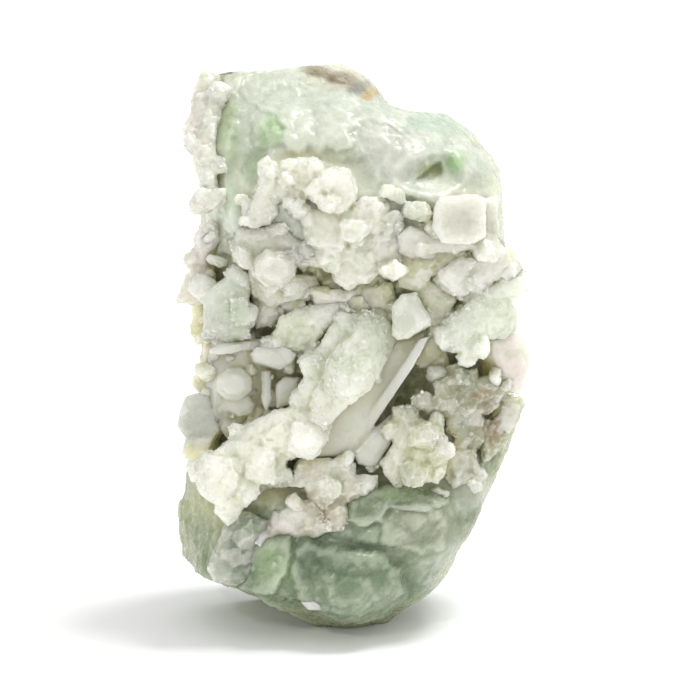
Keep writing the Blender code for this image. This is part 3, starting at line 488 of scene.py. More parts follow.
def crystalSet(places, axes, sizes, seed, rows=9, around=14):
    # blocky crystals: each direction from the middle goes out to the nearest of six sides, two ends and some
    # slanted corner planes, all a little uneven, then is stretched to width, thickness and length along its axis
    rng = np.random.default_rng(seed)
    count = len(places)
    rise = np.pi * (np.arange(rows) + 0.5) / rows
    turn = 2 * np.pi * np.arange(around) / around
    ball = np.stack([np.outer(np.sin(rise), np.cos(turn)), np.outer(np.sin(rise), np.sin(turn)),
                     np.outer(-np.cos(rise), np.ones(around))], -1).reshape(-1, 3)
    ball = np.vstack([ball, [[0, 0, -1], [0, 0, 1]]])
    sides = 2 * np.pi * np.arange(6) / 6
    planes = [(math.cos(t), math.sin(t), 0.0, 0.86) for t in sides]
    planes += [(0, 0, 1, 1.0), (0, 0, -1, 1.0)]
    planes += [(math.cos(t) * 0.7, math.sin(t) * 0.7, 0.71, 1.0) for t in sides[::2] + 0.4]
    planes += [(math.cos(t) * 0.7, math.sin(t) * 0.7, -0.71, 1.0) for t in sides[1::2] + 0.4]
    planes = np.array(planes)
    facing = planes[None, :, :3] + rng.normal(0.0, 0.16, (count, len(planes), 3))
    facing /= np.linalg.norm(facing, axis=-1, keepdims=True)
    reach = planes[None, :, 3] * rng.uniform(0.8, 1.12, (count, len(planes)))
    along = np.einsum("pk,cnk->cpn", ball, facing)
    out = (reach[:, None, :] / np.maximum(along, 0.05)).min(axis=-1)
    unit = ball[None] * out[..., None]
    axis = axes / np.linalg.norm(axes, axis=-1, keepdims=True)
    other = rng.normal(0.0, 1.0, (count, 3))
    side = np.cross(axis, other)
    side /= np.linalg.norm(side, axis=-1, keepdims=True)
    depth = np.cross(axis, side)
    scaled = unit * (np.asarray(sizes)[:, None, :] / 2)
    points = (scaled[..., :1] * side[:, None] + scaled[..., 1:2] * depth[:, None] + scaled[..., 2:] * axis[:, None])
    points += np.asarray(places)[:, None, :]
    quads, caps = gridFaces(rows, around)
    each = len(ball)
    start = (np.arange(count) * each)[:, None, None]
    return points.reshape(-1, 3), (quads[None] + start).reshape(-1, 4), (caps[None] + start).reshape(-1, 3)


def spread(outline, count, rng):
    # that many pixels inside an outline, each the farthest of its tries from those already chosen
    outline = np.asarray(outline, float)
    low, high = outline.min(axis=0), outline.max(axis=0)
    tries = low + rng.random((count * 30 + 200, 2)) * (high - low)
    tries = tries[insideBy(tries, outline) > 0.0]
    chosen = [tries[0]]
    apart = np.linalg.norm(tries - chosen[0], axis=1)
    for _ in range(count - 1):
        best = tries[int(np.argmax(apart))]
        chosen.append(best)
        apart = np.minimum(apart, np.linalg.norm(tries - best, axis=1))
    return np.array(chosen)


def scatteredCrystals(spec):
    # crystals spread over a slab's front, or over an outline at its own depth, that lean out from the front
    rng = np.random.default_rng(spec["seed"])
    small, large = spec.get("sizes", (3.6, 7.4))
    outline = np.asarray(spec["slab"], float)
    after = np.roll(outline, -1, axis=0)
    area = abs(np.sum(outline[:, 0] * after[:, 1] - after[:, 0] * outline[:, 1])) / 2 / view["pixelsPerMm"] ** 2
    count = max(2, round(spec["cover"] * area / ((small + large) / 2) ** 2))
    pixels = spread(outline, count, rng)
    places = seenAt(pixels, spec["front"])
    size = small + (large - small) * rng.random(len(places)) ** 1.4
    places[:, 1] = slabPlane(spec, places, spec.get("sink", 0.4) * size)
    axes = rng.normal(0.0, 0.75, places.shape) + np.array(spec.get("axis", (0.0, -0.6, 0.1)))
    shapes = np.stack([size * rng.uniform(0.75, 1.0, len(size)), size * rng.uniform(0.6, 0.95, len(size)),
                       size * rng.uniform(1.0, spec.get("long", 1.5), len(size))], axis=-1)
    return crystalSet(places, axes, shapes, spec["seed"] + 100)


def lumpShape(spec):
    # a rounded block with uneven flat faces
    size = np.array(spec["size"], float) * 2
    place = seenAt(*spec["lump"])[None]
    return crystalSet(place, np.array([[math.sin(math.radians(spec["turn"])), 0.1, 1.0]]),
                      size[None], spec["seed"], rows=15, around=24)


def fused(name, shapes, voxel):
    # all the shapes as one skin: joined in one mesh and remeshed on a lattice of that many mm
    points, faces = [], []
    for shape in shapes:
        start = sum(len(p) for p in points)
        points.append(shape[0])
        for part in shape[1:]:
            faces += [[int(i) + start for i in face] for face in part]
    mesh = bpy.data.meshes.new(name)
    mesh.from_pydata((np.vstack(points) * mm).tolist(), [], faces)
    work = bmesh.new()
    work.from_mesh(mesh)
    bmesh.ops.recalc_face_normals(work, faces=work.faces[:])
    work.to_mesh(mesh)
    work.free()
    rough = bpy.data.objects.new(name, mesh)
    bpy.context.scene.collection.objects.link(rough)
    skin = rough.modifiers.new("skin", "REMESH")
    skin.mode = "VOXEL"
    skin.voxel_size = voxel * mm
    made = bpy.data.meshes.new_from_object(rough.evaluated_get(bpy.context.evaluated_depsgraph_get()))
    made.name = name
    bpy.data.objects.remove(rough)
    bpy.data.meshes.remove(mesh)
    piece = bpy.data.objects.new(name, made)
    bpy.context.scene.collection.objects.link(piece)
    return piece


def makeCluster(name, spec):
    # a group of slabs, prisms and lumps with crystals scattered over them, fused, roughened and tinted
    shapes = []
    for part in spec["shapes"]:
        if "slab" in part and "back" in part:
            shapes.append(slabShape(part))
        if "prism" in part:
            shapes.append(prismShape(part))
        if "lump" in part:
            shapes.append(lumpShape(part))
        if "cover" in part:
            shapes.append(scatteredCrystals(part))
    piece = fused(name, shapes, spec.get("voxel", 0.24))
    points, normals = meshArrays(piece.data)
    height = skinHeight(points, coatSkin, {}) * spec.get("rough", 1.0)
    points = points + normals * height[:, None]
    points = np.clip(points, np.array(cadBox[0]) / mm, np.array(cadBox[1]) / mm)
    piece.data.vertices.foreach_set("co", (points * mm).astype(np.float32).ravel())
    piece.data.update()
    coloured.append((piece, points, tintOf(points, spec["tint"]), 1.0))
    print(name, len(piece.data.polygons), "faces")
    return piece


coatSkin = [
    dict(kind="facets", size=3.4, height=0.26, seed=71),
    dict(kind="facets", size=1.7, height=0.16, seed=72),
    dict(kind="facets", size=0.8, height=0.05, seed=74),
    dict(kind="noise", size=1.6, height=0.05, seed=73),
]


# colour
palette = dict(  # screen colours from 0 to 255
    beige=(190, 190, 160),
    white=(248, 247, 236), frost=(240, 240, 224), frostMint=(239, 244, 226), mint=(217, 224, 206), paleMint=(225, 230, 213), aqua=(198, 219, 199),
    # the teal on the next line is lighter than the stone's own teal: it paints light onto the shaded left side of the
    # mass
    leaf=(180, 208, 160), moss=(172, 190, 148), sage=(150, 176, 146), tealWithPaintedLight=(226, 236, 220), deepTeal=(128, 154, 134),
    window=(214, 216, 203), greyGreen=(196, 202, 184), khaki=(208, 208, 176), olive=(190, 188, 148),
    bottle=(164, 178, 124), brownOlive=(150, 142, 108), sea=(125, 146, 112), deepSea=(100, 124, 92),
    bright=(160, 182, 140), yellowGreen=(144, 158, 112), paleSage=(166, 174, 148), greyPane=(150, 164, 140),
    shell=(233, 224, 215), rose=(228, 208, 192), rust=(176, 140, 104), sand=(226, 220, 200), ochre=(196, 164, 92),
    # the crevice and crease colours on the next line are painted shade for hollows and creases
    paintedCreviceShade=(232, 226, 184), glassGrey=(206, 212, 187), brown=(134, 118, 84), darkGrey=(120, 120, 108), paintedCreaseShade=(196, 192, 160), matrix=(150, 144, 122), slate=(140, 146, 140), lemon=(222, 224, 192), clearGrey=(206, 203, 188),
)

paint = 0.78  # the share of a screen colour that the stone itself has, as the studio's light adds the rest


def linear(colour):
    # screen colours to linear light
    c = np.asarray(colour, float) / 255.0
    return np.where(c <= 0.04045, c / 12.92, ((c + 0.055) / 1.055) ** 2.4)


def tintOf(points, spec):
    # the base colour, mixed with each patch in turn: a soft oval around its pixel with an edge that noise makes
    # ragged, and then lightened and darkened a little by broad noise
    points = np.asarray(points, float)
    seen = pixelOf(points)
    warp = np.stack([layered(points, 5.0, 41, 3), layered(points, 5.0, 45, 3)], -1) * spec.get("ragged", 7.0)
    seen = seen + warp
    colour = np.broadcast_to(linear(palette[spec["base"]]), points.shape).copy()
    front = smoothStep(*spec.get("fade", (12.0, -1.0)), points[:, 1])
    for low, high, name in spec.get("bands", []):
        weight = smoothStep(low, high, points[:, 2] + layered(points, 7.0, 48, 3) * 4.0) * (spec.get("backBands", 0.5) * (1 - front) + front)
        colour += (linear(palette[name]) - colour) * weight[:, None]
    for pixel, reach, name, strength in spec.get("patches", []):
        apart = np.sqrt((((seen - pixel) / reach) ** 2).sum(-1))
        weight = strength * smoothStep(1.25, 0.55, apart) * front
        colour += (linear(palette[name]) - colour) * weight[:, None]
    for name, size, share, seed in spec.get("stains", []):
        patchy = layered(points, size, seed, 3)
        weight = smoothStep(1.0 - 2.0 * share, 1.35 - 2.0 * share, patchy) * spec.get("stainDepth", 0.8)
        colour += (linear(palette[name]) - colour) * (weight * (1 - front * spec.get("cleanFront", 1.0)))[:, None]
    own = cells(points, spec.get("crystals", 3.0), 55)[3]
    glassy = smoothStep(0.28, 0.2, own) * spec.get("glassy", 0.5)
    colour += (linear(palette["glassGrey"]) - colour) * glassy[:, None]
    frosty = smoothStep(0.74, 0.82, own) * spec.get("frosty", 0.6)
    colour += (linear(palette["white"]) - colour) * frosty[:, None]
    colour *= (1.0 + spec.get("mottle", 0.05) * layered(points, 3.0, 51, 3) + spec.get("speckle", 0.03)
               * layered(points, 0.8, 58, 2))[:, None]
    return np.clip(colour * spec.get("paint", paint), 0.0, 0.96)


mass["tint"] = dict(
    base="sea", ragged=6.0, fade=(19.0, 8.0), mottle=0.12, speckle=0.05, crystals=4.0, glassy=0.12, frosty=0.10,
    bands=[(10.0, 60.0, "paleSage"), (30.0, 42.0, "khaki"), (62.0, 72.0, "mint")],
    patches=[
        ((330, 125), (190, 75), "mint", 0.9), ((310, 126), (48, 22), "paleMint", 0.8),
        ((225, 88), (34, 14), "paleMint", 0.8), ((222, 135), (22, 46), "moss", 0.85),
        ((270, 130), (15, 18), "leaf", 0.9), ((258, 168), (15, 22), "sage", 0.9),
        # the teal patch paints light onto the shaded left side of the mass over its own teal colour
        ((224, 205), (24, 16), "aqua", 0.7), ((226, 238), (24, 40), "tealWithPaintedLight", 1.0),
        ((300, 157), (20, 6), "khaki", 0.8), ((390, 150), (38, 34), "window", 0.9),
        ((440, 122), (38, 12), "aqua", 0.8), ((431, 171), (15, 9), "bottle", 1.0),
        ((457, 163), (11, 14), "leaf", 0.9), ((470, 180), (26, 9), "greyGreen", 0.7),
        ((345, 78), (40, 12), "sand", 0.8), ((316, 71), (18, 6), "brown", 0.9), ((342, 77), (16, 6), "brown", 1.0),
        ((358, 86), (13, 6), "darkGrey", 0.9), ((370, 94), (11, 5), "ochre", 0.9), ((312, 159), (9, 4), "matrix", 0.5),
        ((417, 212), (18, 20), "greyGreen", 0.9), ((362, 234), (16, 9), "moss", 0.7),
        ((308, 282), (32, 24), "olive", 1.0), ((430, 262), (34, 13), "olive", 1.0),
        ((430, 300), (36, 30), "khaki", 0.9), ((405, 390), (26, 26), "bottle", 1.0),
        ((262, 340), (22, 12), "brownOlive", 0.9), ((305, 360), (16, 18), "olive", 0.9),
        ((262, 395), (40, 30), "khaki", 0.9), ((480, 412), (14, 10), "bright", 0.8),
        ((206, 520), (30, 56), "yellowGreen", 0.9), ((270, 492), (44, 14), "khaki", 0.8),
        ((272, 565), (22, 26), "bright", 0.9), ((330, 548), (34, 14), "deepSea", 0.9),
        ((300, 520), (30, 30), "deepSea", 0.5), ((298, 568), (5, 28), "deepSea", 0.9), ((350, 478), (50, 10), "deepSea", 0.4),
        # the bright patch at (405, 493) is painted light, lifting the shaded crevice under the lower right cluster
        ((365, 549), (40, 4), "deepSea", 0.7), ((405, 493), (34, 8), "bright", 0.9),
        ((350, 590), (52, 32), "sea", 0.9), ((330, 570), (22, 18), "deepSea", 0.5),
        ((420, 530), (42, 26), "paleSage", 0.85), ((456, 520), (20, 44), "paleSage", 0.7),
        ((438, 570), (30, 20), "greyGreen", 0.6), ((470, 490), (22, 20), "greyGreen", 0.7),
    ],
    stains=[("frost", 11.0, 0.50, 61), ("sand", 6.0, 0.32, 64), ("mint", 4.0, 0.40, 69), ("matrix", 7.0, 0.24, 67), ("brown", 3.0, 0.12, 68)],
)

# materials
def nodeSet(tree):
    # short names for adding nodes and linking them
    def add(kind, **values):
        node = tree.nodes.new(kind)
        for key, value in values.items():
            setattr(node, key, value)
        return node

    return add, tree.links.new


def skinGroup():
    # the fine look of every stone face: cloudy mottling of the tint, slanted grains that glint, and a fine height
    tree = bpy.data.node_groups.new("crystalSkin", "ShaderNodeTree")
    sockets = tree.interface
    for name, kind, default in (
        ("Tint", "NodeSocketColor", (0.8, 0.8, 0.8, 1.0)), ("Cloud", "NodeSocketFloat", 0.1),
        ("Grain Size", "NodeSocketFloat", 900.0), ("Glint", "NodeSocketFloat", 0.2),
        ("Rough Low", "NodeSocketFloat", 0.3), ("Rough High", "NodeSocketFloat", 0.6),
    ):
        socket = sockets.new_socket(name, in_out="INPUT", socket_type=kind)
        socket.default_value = default
    for name, kind in (("Colour", "NodeSocketColor"), ("Roughness", "NodeSocketFloat"),
                       ("Height", "NodeSocketFloat"), ("Normal", "NodeSocketVector")):
        sockets.new_socket(name, in_out="OUTPUT", socket_type=kind)
    add, link = nodeSet(tree)
    taken, given = add("NodeGroupInput"), add("NodeGroupOutput")
    place = add("ShaderNodeTexCoord")
    cloud = add("ShaderNodeTexNoise", noise_dimensions="3D")
    cloud.inputs["Scale"].default_value = 420.0
    cloud.inputs["Detail"].default_value = 5.0
    cloud.inputs["Roughness"].default_value = 0.62
    link(place.outputs["Object"], cloud.inputs["Vector"])
    centred = add("ShaderNodeMath", operation="SUBTRACT")
    centred.inputs[1].default_value = 0.5
    link(cloud.outputs["Fac"], centred.inputs[0])
    strength = add("ShaderNodeMath", operation="MULTIPLY_ADD")
    strength.inputs[2].default_value = 1.0
    link(centred.outputs[0], strength.inputs[0])
    link(taken.outputs["Cloud"], strength.inputs[1])
    toned = add("ShaderNodeVectorMath", operation="SCALE")
    link(taken.outputs["Tint"], toned.inputs[0])
    link(strength.outputs[0], toned.inputs["Scale"])
    link(toned.outputs[0], given.inputs["Colour"])
    grains = add("ShaderNodeTexVoronoi", feature="F1")
    link(place.outputs["Object"], grains.inputs["Vector"])
    link(taken.outputs["Grain Size"], grains.inputs["Scale"])
    slant = add("ShaderNodeVectorMath", operation="SUBTRACT")
    slant.inputs[1].default_value = (0.5, 0.5, 0.5)
    link(grains.outputs["Color"], slant.inputs[0])
    scaled = add("ShaderNodeVectorMath", operation="SCALE")
    link(slant.outputs[0], scaled.inputs[0])
    link(taken.outputs["Glint"], scaled.inputs["Scale"])
    surface = add("ShaderNodeNewGeometry")
    tilted = add("ShaderNodeVectorMath", operation="ADD")
    link(surface.outputs["Normal"], tilted.inputs[0])
    link(scaled.outputs[0], tilted.inputs[1])
    unit = add("ShaderNodeVectorMath", operation="NORMALIZE")
    link(tilted.outputs[0], unit.inputs[0])
    link(unit.outputs[0], given.inputs["Normal"])
    rough = add("ShaderNodeMapRange")
    link(grains.outputs["Distance"], rough.inputs["Value"])
    link(taken.outputs["Rough Low"], rough.inputs["To Min"])
    link(taken.outputs["Rough High"], rough.inputs["To Max"])
    link(rough.outputs["Result"], given.inputs["Roughness"])
    fine = add("ShaderNodeTexNoise", noise_dimensions="3D")
    fine.inputs["Scale"].default_value = 1500.0
    fine.inputs["Detail"].default_value = 4.0
    link(place.outputs["Object"], fine.inputs["Vector"])
    link(fine.outputs["Fac"], given.inputs["Height"])
    return tree


crystalSkin = skinGroup()
prehniteIor = 1.63


def stoneMaterial(name, spec):
    # a Principled shader whose colour, roughness and normal come from the tint through the crystal skin
    material = bpy.data.materials.new(name)
    material.use_nodes = True
    tree = material.node_tree
    add, link = nodeSet(tree)
    shader = tree.nodes["Principled BSDF"]
    tint = add("ShaderNodeAttribute", attribute_name="tint")
    skin = add("ShaderNodeGroup", node_tree=crystalSkin)
    link(tint.outputs["Color"], skin.inputs["Tint"])
    skin.inputs["Cloud"].default_value = spec.get("cloud", 0.25)
    skin.inputs["Grain Size"].default_value = spec.get("grain", 1400.0)
    skin.inputs["Glint"].default_value = spec.get("glint", 0.25)
    skin.inputs["Rough Low"].default_value = spec.get("roughness", (0.3, 0.6))[0]
    skin.inputs["Rough High"].default_value = spec.get("roughness", (0.3, 0.6))[1]
    link(skin.outputs["Colour"], shader.inputs["Base Color"])
    link(skin.outputs["Roughness"], shader.inputs["Roughness"])
    bump = add("ShaderNodeBump")
    bump.inputs["Strength"].default_value = spec.get("bump", 0.25)
    bump.inputs["Distance"].default_value = 0.0004
    link(skin.outputs["Height"], bump.inputs["Height"])
    link(skin.outputs["Normal"], bump.inputs["Normal"])
    link(bump.outputs["Normal"], shader.inputs["Normal"])
    shader.inputs["IOR"].default_value = spec.get("ior", prehniteIor)
    shader.inputs["Metallic"].default_value = 0.0
    shader.inputs["Transmission Weight"].default_value = spec.get("clear", 0.0)
    shader.inputs["Subsurface Weight"].default_value = spec.get("soft", 0.5)
    shader.inputs["Subsurface Scale"].default_value = spec.get("reach", 0.0014)
    shader.inputs["Subsurface Radius"].default_value = (1.0, 1.0, 1.0)
    shader.inputs["Specular IOR Level"].default_value = spec.get("specular", 0.4)
    if "absorb" in spec:
        inside = add("ShaderNodeVolumeAbsorption")
        inside.inputs["Color"].default_value = (*linear(spec["absorb"]), 1.0)
        inside.inputs["Density"].default_value = spec["density"]
        link(inside.outputs[0], tree.nodes["Material Output"].inputs["Volume"])
    return material


def dress(piece, material, slot, *nodes):
    # the piece's material, the body it rides on, and the CAD nodes it stands for
    piece.data.materials.clear()
    piece.data.materials.append(material)
    piece.data.polygons.foreach_set("use_smooth", [True] * len(piece.data.polygons))
    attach(piece, "root")
    if nodes:
        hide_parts(*nodes)
    return piece


massStone = stoneMaterial("greenPrehnite", dict(cloud=0.3, grain=1000.0, glint=0.2, soft=1.0, reach=0.004, roughness=(0.16, 0.42),
                                                bump=0.12))

massPiece = makeMass()

dress(massPiece, massStone, "green_prehnite", "prehnite_mass")
print("mass:", len(massPiece.data.polygons), "faces")


clusters = {  # one entry for each group of crystals
    "diagonalBlade": dict(
        node="diagonal_blade", slot="pale_green_druse", finish="softStone",
        tint=dict(base="frost", paint=0.88, glassy=0.3, bands=[(40.0, 52.0, "frostMint")], patches=[((345, 338), (5, 4), "rose", 0.8),
            ((333, 404), (5, 4), "rose", 0.6), ((263, 455), (10, 6), "shell", 0.6), ((235, 493), (10, 6), "shell", 0.5),
            ((305, 435), (24, 24), "white", 0.9), ((370, 330), (30, 20), "mint", 0.3)]),
        shapes=[
            dict(
                slab=[(345, 320), (370, 314), (391, 314), (394, 347), (386, 360), (381, 369), (366, 370), (357, 376),
                      (356, 402), (341, 415), (325, 418), (324, 433), (307, 458), (288, 460), (286, 476), (270, 482),
                      (257, 484), (246, 498), (240, 511), (226, 511), (209, 493), (198, 478), (200, 460), (219, 445),
                      (236, 432), (262, 416), (289, 408), (299, 388), (312, 366), (321, 345), (331, 330)],
                front=-18.5, back=-6.0, lean=(0.18, 0.14), bevel=1.5, cover=1.5, seed=1,
            ),
            dict(prism=((378, 322), -12.0), tip=((338, 398), -20.6), wide=9.0, thick=7.0, sides=6, point=0.25, end=0.6, roll=20),
            dict(prism=((352, 350), -12.0), tip=((318, 424), -20.8), wide=7.0, thick=6.0, sides=6, point=0.3, end=0.5),
            dict(prism=((322, 420), -12.0), tip=((262, 446), -20.6), wide=8.0, thick=7.0, sides=6, point=0.3, end=0.5, roll=10),
            dict(lump=((262, 462), -19.6), size=(3.6, 3.2, 3.4), turn=20, seed=61),
            dict(lump=((240, 492), -20.0), size=(3.2, 3.0, 3.4), turn=40, seed=62),
            dict(prism=((318, 405), -14.0), tip=((302, 452), -23.0), wide=7.4, thick=5.5, sides=6, point=0.3, end=0.72),
            dict(lump=((222, 474), -20.0), size=(4.6, 4.4, 4.6), turn=0, seed=5),
        ],
    ),
    "clearPrism": dict(
        rough=0.25,
        node="clear_prism", slot="clear_crystal", finish="clearStone",
        tint=dict(base="frost", paint=1.0, glassy=0.2, frosty=0.1, crystals=6.0, patches=[((400, 380), (7, 60), "white", 0.5)]),
        shapes=[
            dict(
                slab=[(392, 341), (428, 334), (413, 365), (381, 414), (354, 456), (280, 457), (300, 436), (340, 396)],
                front=-15.5, back=-5.0, lean=(0.12, 0.08), bevel=1.2,
            ),
            dict(
                slab=[(430, 333), (413, 366), (382, 414), (356, 455), (347, 449), (374, 407), (405, 361), (419, 337)],
                front=-16.9, back=-7.0, lean=(-0.35, 0.0), bevel=0.3,
            ),
            dict(
                slab=[(368, 436), (392, 416), (393, 445), (386, 454), (379, 467), (370, 470), (358, 465), (352, 452)],
                front=-16.6, back=-6.0, lean=(0.3, 0.0), bevel=1.6,
            ),
        ],
    ),
    "centreBlock": dict(
        rough=0.4,
        node="centre_block", slot="green_crystal", finish="milkyClear",
        tint=dict(base="mint", patches=[((412, 318), (12, 14), "white", 0.7)]),
        shapes=[
            dict(
                slab=[(402, 296), (417, 295), (423, 308), (432, 320), (431, 327), (415, 336), (409, 340), (397, 341),
                      (392, 336), (392, 307)],
                front=-20.5, back=-6.0, lean=(0.1, 0.1), bevel=1.5,
            ),
        ],
    ),
    "lowerRightCluster": dict(
        node="lower_right_cluster", slot="yellow_green_crystal", finish="softStone",
        tint=dict(base="lemon", paint=0.83, patches=[((447, 445), (10, 10), "white", 0.9)]),
        shapes=[
            dict(
                slab=[(391, 410), (404, 409), (414, 411), (420, 421), (438, 427), (444, 440), (441, 466), (430, 476),
                      (414, 483), (402, 478), (385, 473), (379, 465), (393, 446)],
                front=-17.0, back=-6.0, lean=(0.0, 0.12), bevel=1.6, cover=1.5, seed=2,
            ),
            dict(prism=((414, 448), -12.0), tip=((454, 450), -21.0), wide=7.6, thick=6.6, sides=6, point=0.5, end=0.15),
            dict(prism=((418, 436), -12.0), tip=((428, 436), -22.0), wide=6.0, thick=5.4, sides=5, point=0.3, end=0.4),
            dict(prism=((418, 458), -14.0), tip=((414, 482), -20.5), wide=6.4, thick=5.2, sides=6, point=0.4, end=0.5),
        ],
    ),
    "lowerCentreCluster": dict(
        node="lower_centre_cluster", slot="white_crystal", finish="softStone",
        tint=dict(base="sand", paint=0.83, patches=[((285, 525), (22, 16), "shell", 0.7), ((335, 480), (20, 20), "frost", 0.5)]),
        shapes=[
            dict(
                slab=[(300, 474), (312, 460), (340, 459), (355, 465), (356, 477), (365, 492), (355, 504), (346, 510),
                      (330, 513), (313, 504), (304, 492)],
                front=-18.6, back=-8.0, lean=(0.1, 0.0), bevel=1.5, cover=1.5, seed=3,
            ),
            dict(
                slab=[(269, 522), (273, 514), (285, 508), (313, 502), (327, 516), (332, 526), (328, 536), (318, 543),
                      (305, 539), (296, 542), (280, 540), (271, 533)],
                front=-19.6, back=-9.0, lean=(0.0, 0.1), bevel=1.5, cover=1.5, seed=4,
            ),
            dict(prism=((318, 490), -15.0), tip=((366, 492), -18.5), wide=6.0, thick=5.0, sides=6, point=0.4, end=0.2),
            dict(prism=((312, 486), -12.0), tip=((334, 490), -21.5), wide=6.0, thick=6.0, sides=6, point=0.3, end=0.5),
            dict(prism=((300, 524), -16.0), tip=((330, 527), -21.5), wide=5.0, thick=4.2, sides=6, point=0.5, end=0.3),
            dict(prism=((256, 479), -14.0), tip=((306, 480), -17.6), wide=2.6, thick=4.4, sides=4, point=0.05, end=0.9),
        ],
    ),
    "secondBlade": dict(
        node="second_blade", slot="pale_green_druse", finish="softStone",
        tint=dict(base="frostMint", paint=0.86, patches=[((300, 330), (30, 20), "lemon", 0.5)]),
        shapes=[
            dict(
                slab=[(345, 300), (342, 322), (331, 328), (319, 340), (311, 348), (297, 355), (270, 349), (267, 343),
                      (275, 330), (279, 320), (296, 310), (319, 307)],
                front=-14.6, back=-2.0, lean=(0.16, 0.08), bevel=1.4, cover=1.5, seed=6,
            ),
        ],
    ),
    "hollowCrystals": dict(
        rough=0.45,
        node="hollow_crystals", slot="clear_crystal", finish="clearStone",
        tint=dict(base="frost", paint=1.0, glassy=0.3, patches=[((255, 392), (8, 10), "ochre", 0.5)]),
        shapes=[
            dict(lump=((254, 384), -8.0), size=(9.6, 4.0, 8.6), turn=8, seed=7),
            dict(prism=((284, 340), -11.0), tip=((210, 351), -17.5), wide=2.0, thick=2.6, sides=4, point=0.12, end=0.5),
            dict(prism=((262, 356), -6.0), tip=((214, 340), -14.0), wide=3.4, thick=3.0, sides=4, point=0.2, end=0.6),
            dict(
                slab=[(250, 354), (257, 347), (285, 347), (297, 356), (292, 365), (280, 372), (262, 367), (254, 363)],
                front=-17.0, back=-7.0, lean=(0.1, -0.3), bevel=1.0,
            ),
            dict(prism=((238, 384), -6.0), tip=((233, 384), -17.0), wide=6.6, thick=6.0, sides=8, point=0.2, end=0.6),
            dict(prism=((266, 372), -13.0), tip=((266, 411), -16.0), wide=2.0, thick=2.0, sides=6, point=0.3, end=0.2),
            dict(
                slab=[(275, 385), (284, 378), (299, 379), (297, 392), (290, 406), (276, 409)],
                front=-14.6, back=-6.0, lean=(0.2, 0.1), bevel=0.8,
            ),
            dict(
                slab=[(232, 394), (247, 395), (256, 404), (252, 415), (240, 418), (228, 412), (216, 416), (214, 404)],
                front=-14.0, back=-6.0, lean=(-0.1, 0.2), bevel=1.0,
            ),
            dict(prism=((246, 432), -8.0), tip=((222, 424), -13.0), wide=4.6, thick=4.0, sides=5, point=0.3, end=0.4),
        ],
    ),
    "leftTablet": dict(
        rough=0.3,
        node="left_tablet", slot="green_crystal", finish="milkyClear",
        tint=dict(base="window"),
        shapes=[
            dict(
                slab=[(185, 398), (196, 394), (208, 394), (217, 410), (219, 430), (211, 441), (186, 441), (176, 429),
                      (179, 413)],
                front=-13.0, back=0.0, tuck=4.0, lean=(-0.25, 0.0), bevel=0.7,
            ),
            dict(
                slab=[(185, 438), (213, 436), (208, 451), (199, 464), (191, 466), (181, 455)],
                front=-13.6, back=-2.0, tuck=3.0, lean=(-0.25, 0.0), bevel=0.7,
            ),
        ],
    ),
    "leftColumn": dict(
        rough=0.6,
        node="left_column", slot="green_crystal", finish="milkyClear",
        tint=dict(base="paleMint", paint=0.88, patches=[((240, 310), (10, 14), "leaf", 0.3)]),
        shapes=[
            dict(
                slab=[(225, 279), (214, 286), (206, 294), (203, 310), (204, 333), (212, 340), (225, 342), (250, 339),
                      (250, 328), (249, 294), (243, 285), (234, 280)],
                front=-15.2, back=-4.0, lean=(-0.1, 0.05), bevel=1.2, cover=1.5, seed=8,
            ),
            dict(
                slab=[(231, 299), (240, 297), (249, 300), (250, 326), (236, 327), (230, 318)],
                front=-16.6, back=-6.0, lean=(0.0, 0.0), bevel=0.6,
            ),
        ],
    ),
    "leftEdgeCrystals": dict(
        node="left_edge_crystals", slot="white_crystal", finish="softStone",
        tint=dict(base="shell", patches=[((197, 325), (8, 20), "rose", 0.9)]),
        shapes=[
            dict(
                slab=[(219, 230), (200, 230), (192, 240), (193, 253), (188, 274), (175, 299), (175, 305), (201, 307),
                      (205, 299), (204, 276), (209, 256), (219, 241)],
                front=-10.5, back=4.0, tuck=5.0, lean=(-0.25, 0.0), bevel=1.2, cover=1.5, seed=9,
            ),
            dict(
                slab=[(191, 302), (191, 318), (189, 328), (191, 337), (196, 345), (203, 344), (206, 325), (204, 302)],
                front=-8.5, back=2.0, tuck=4.0, lean=(-0.2, 0.0), bevel=0.8,
            ),
            dict(
                slab=[(204, 344), (201, 361), (199, 373), (192, 380), (191, 388), (197, 393), (208, 394), (213, 384),
                      (212, 344)],
                front=-9.0, back=2.0, tuck=4.0, lean=(-0.2, 0.0), bevel=1.0,
            ),
        ],
    ),
    "leftTopCrust": dict(
        node="left_top_crust", slot="white_crystal", finish="softStone",
        tint=dict(base="frost", paint=0.68, patches=[((195, 120), (12, 30), "shell", 0.6)]),
        shapes=[
            dict(
                slab=[(198, 74), (196, 83), (191, 100), (188, 116), (182, 129), (182, 135), (187, 145), (197, 155),
                      (200, 162), (203, 172), (201, 181), (203, 192), (208, 202), (216, 186), (216, 163), (214, 140),
                      (218, 117), (216, 94), (211, 78)],
                front=-7.5, back=6.0, tuck=4.0, lean=(-0.3, 0.75), bevel=1.2, cover=1.5, seed=10,
            ),
        ],
    ),
    "roundClearKnob": dict(
        rough=0.7,
        node="round_clear_knob", slot="clear_crystal", finish="milkyClear",
        tint=dict(base="frost", patches=[((275, 240), (26, 12), "frost", 0.9)]),
        shapes=[
            dict(
                slab=[(239, 253), (234, 240), (237, 231), (258, 228), (290, 232), (300, 242), (303, 252), (298, 264),
                      (294, 276), (285, 283), (262, 284), (250, 277), (244, 265)],
                front=-18.0, back=-8.0, lean=(0.0, 0.1), bevel=1.5, cover=1.5, seed=11,
            ),
            dict(prism=((276, 264), -10.0), tip=((274, 269), -21.5), wide=7.4, thick=6.6, sides=8, point=0.2, end=0.62),
            dict(
                slab=[(250, 276), (262, 281), (290, 280), (302, 290), (296, 302), (270, 308), (252, 298)],
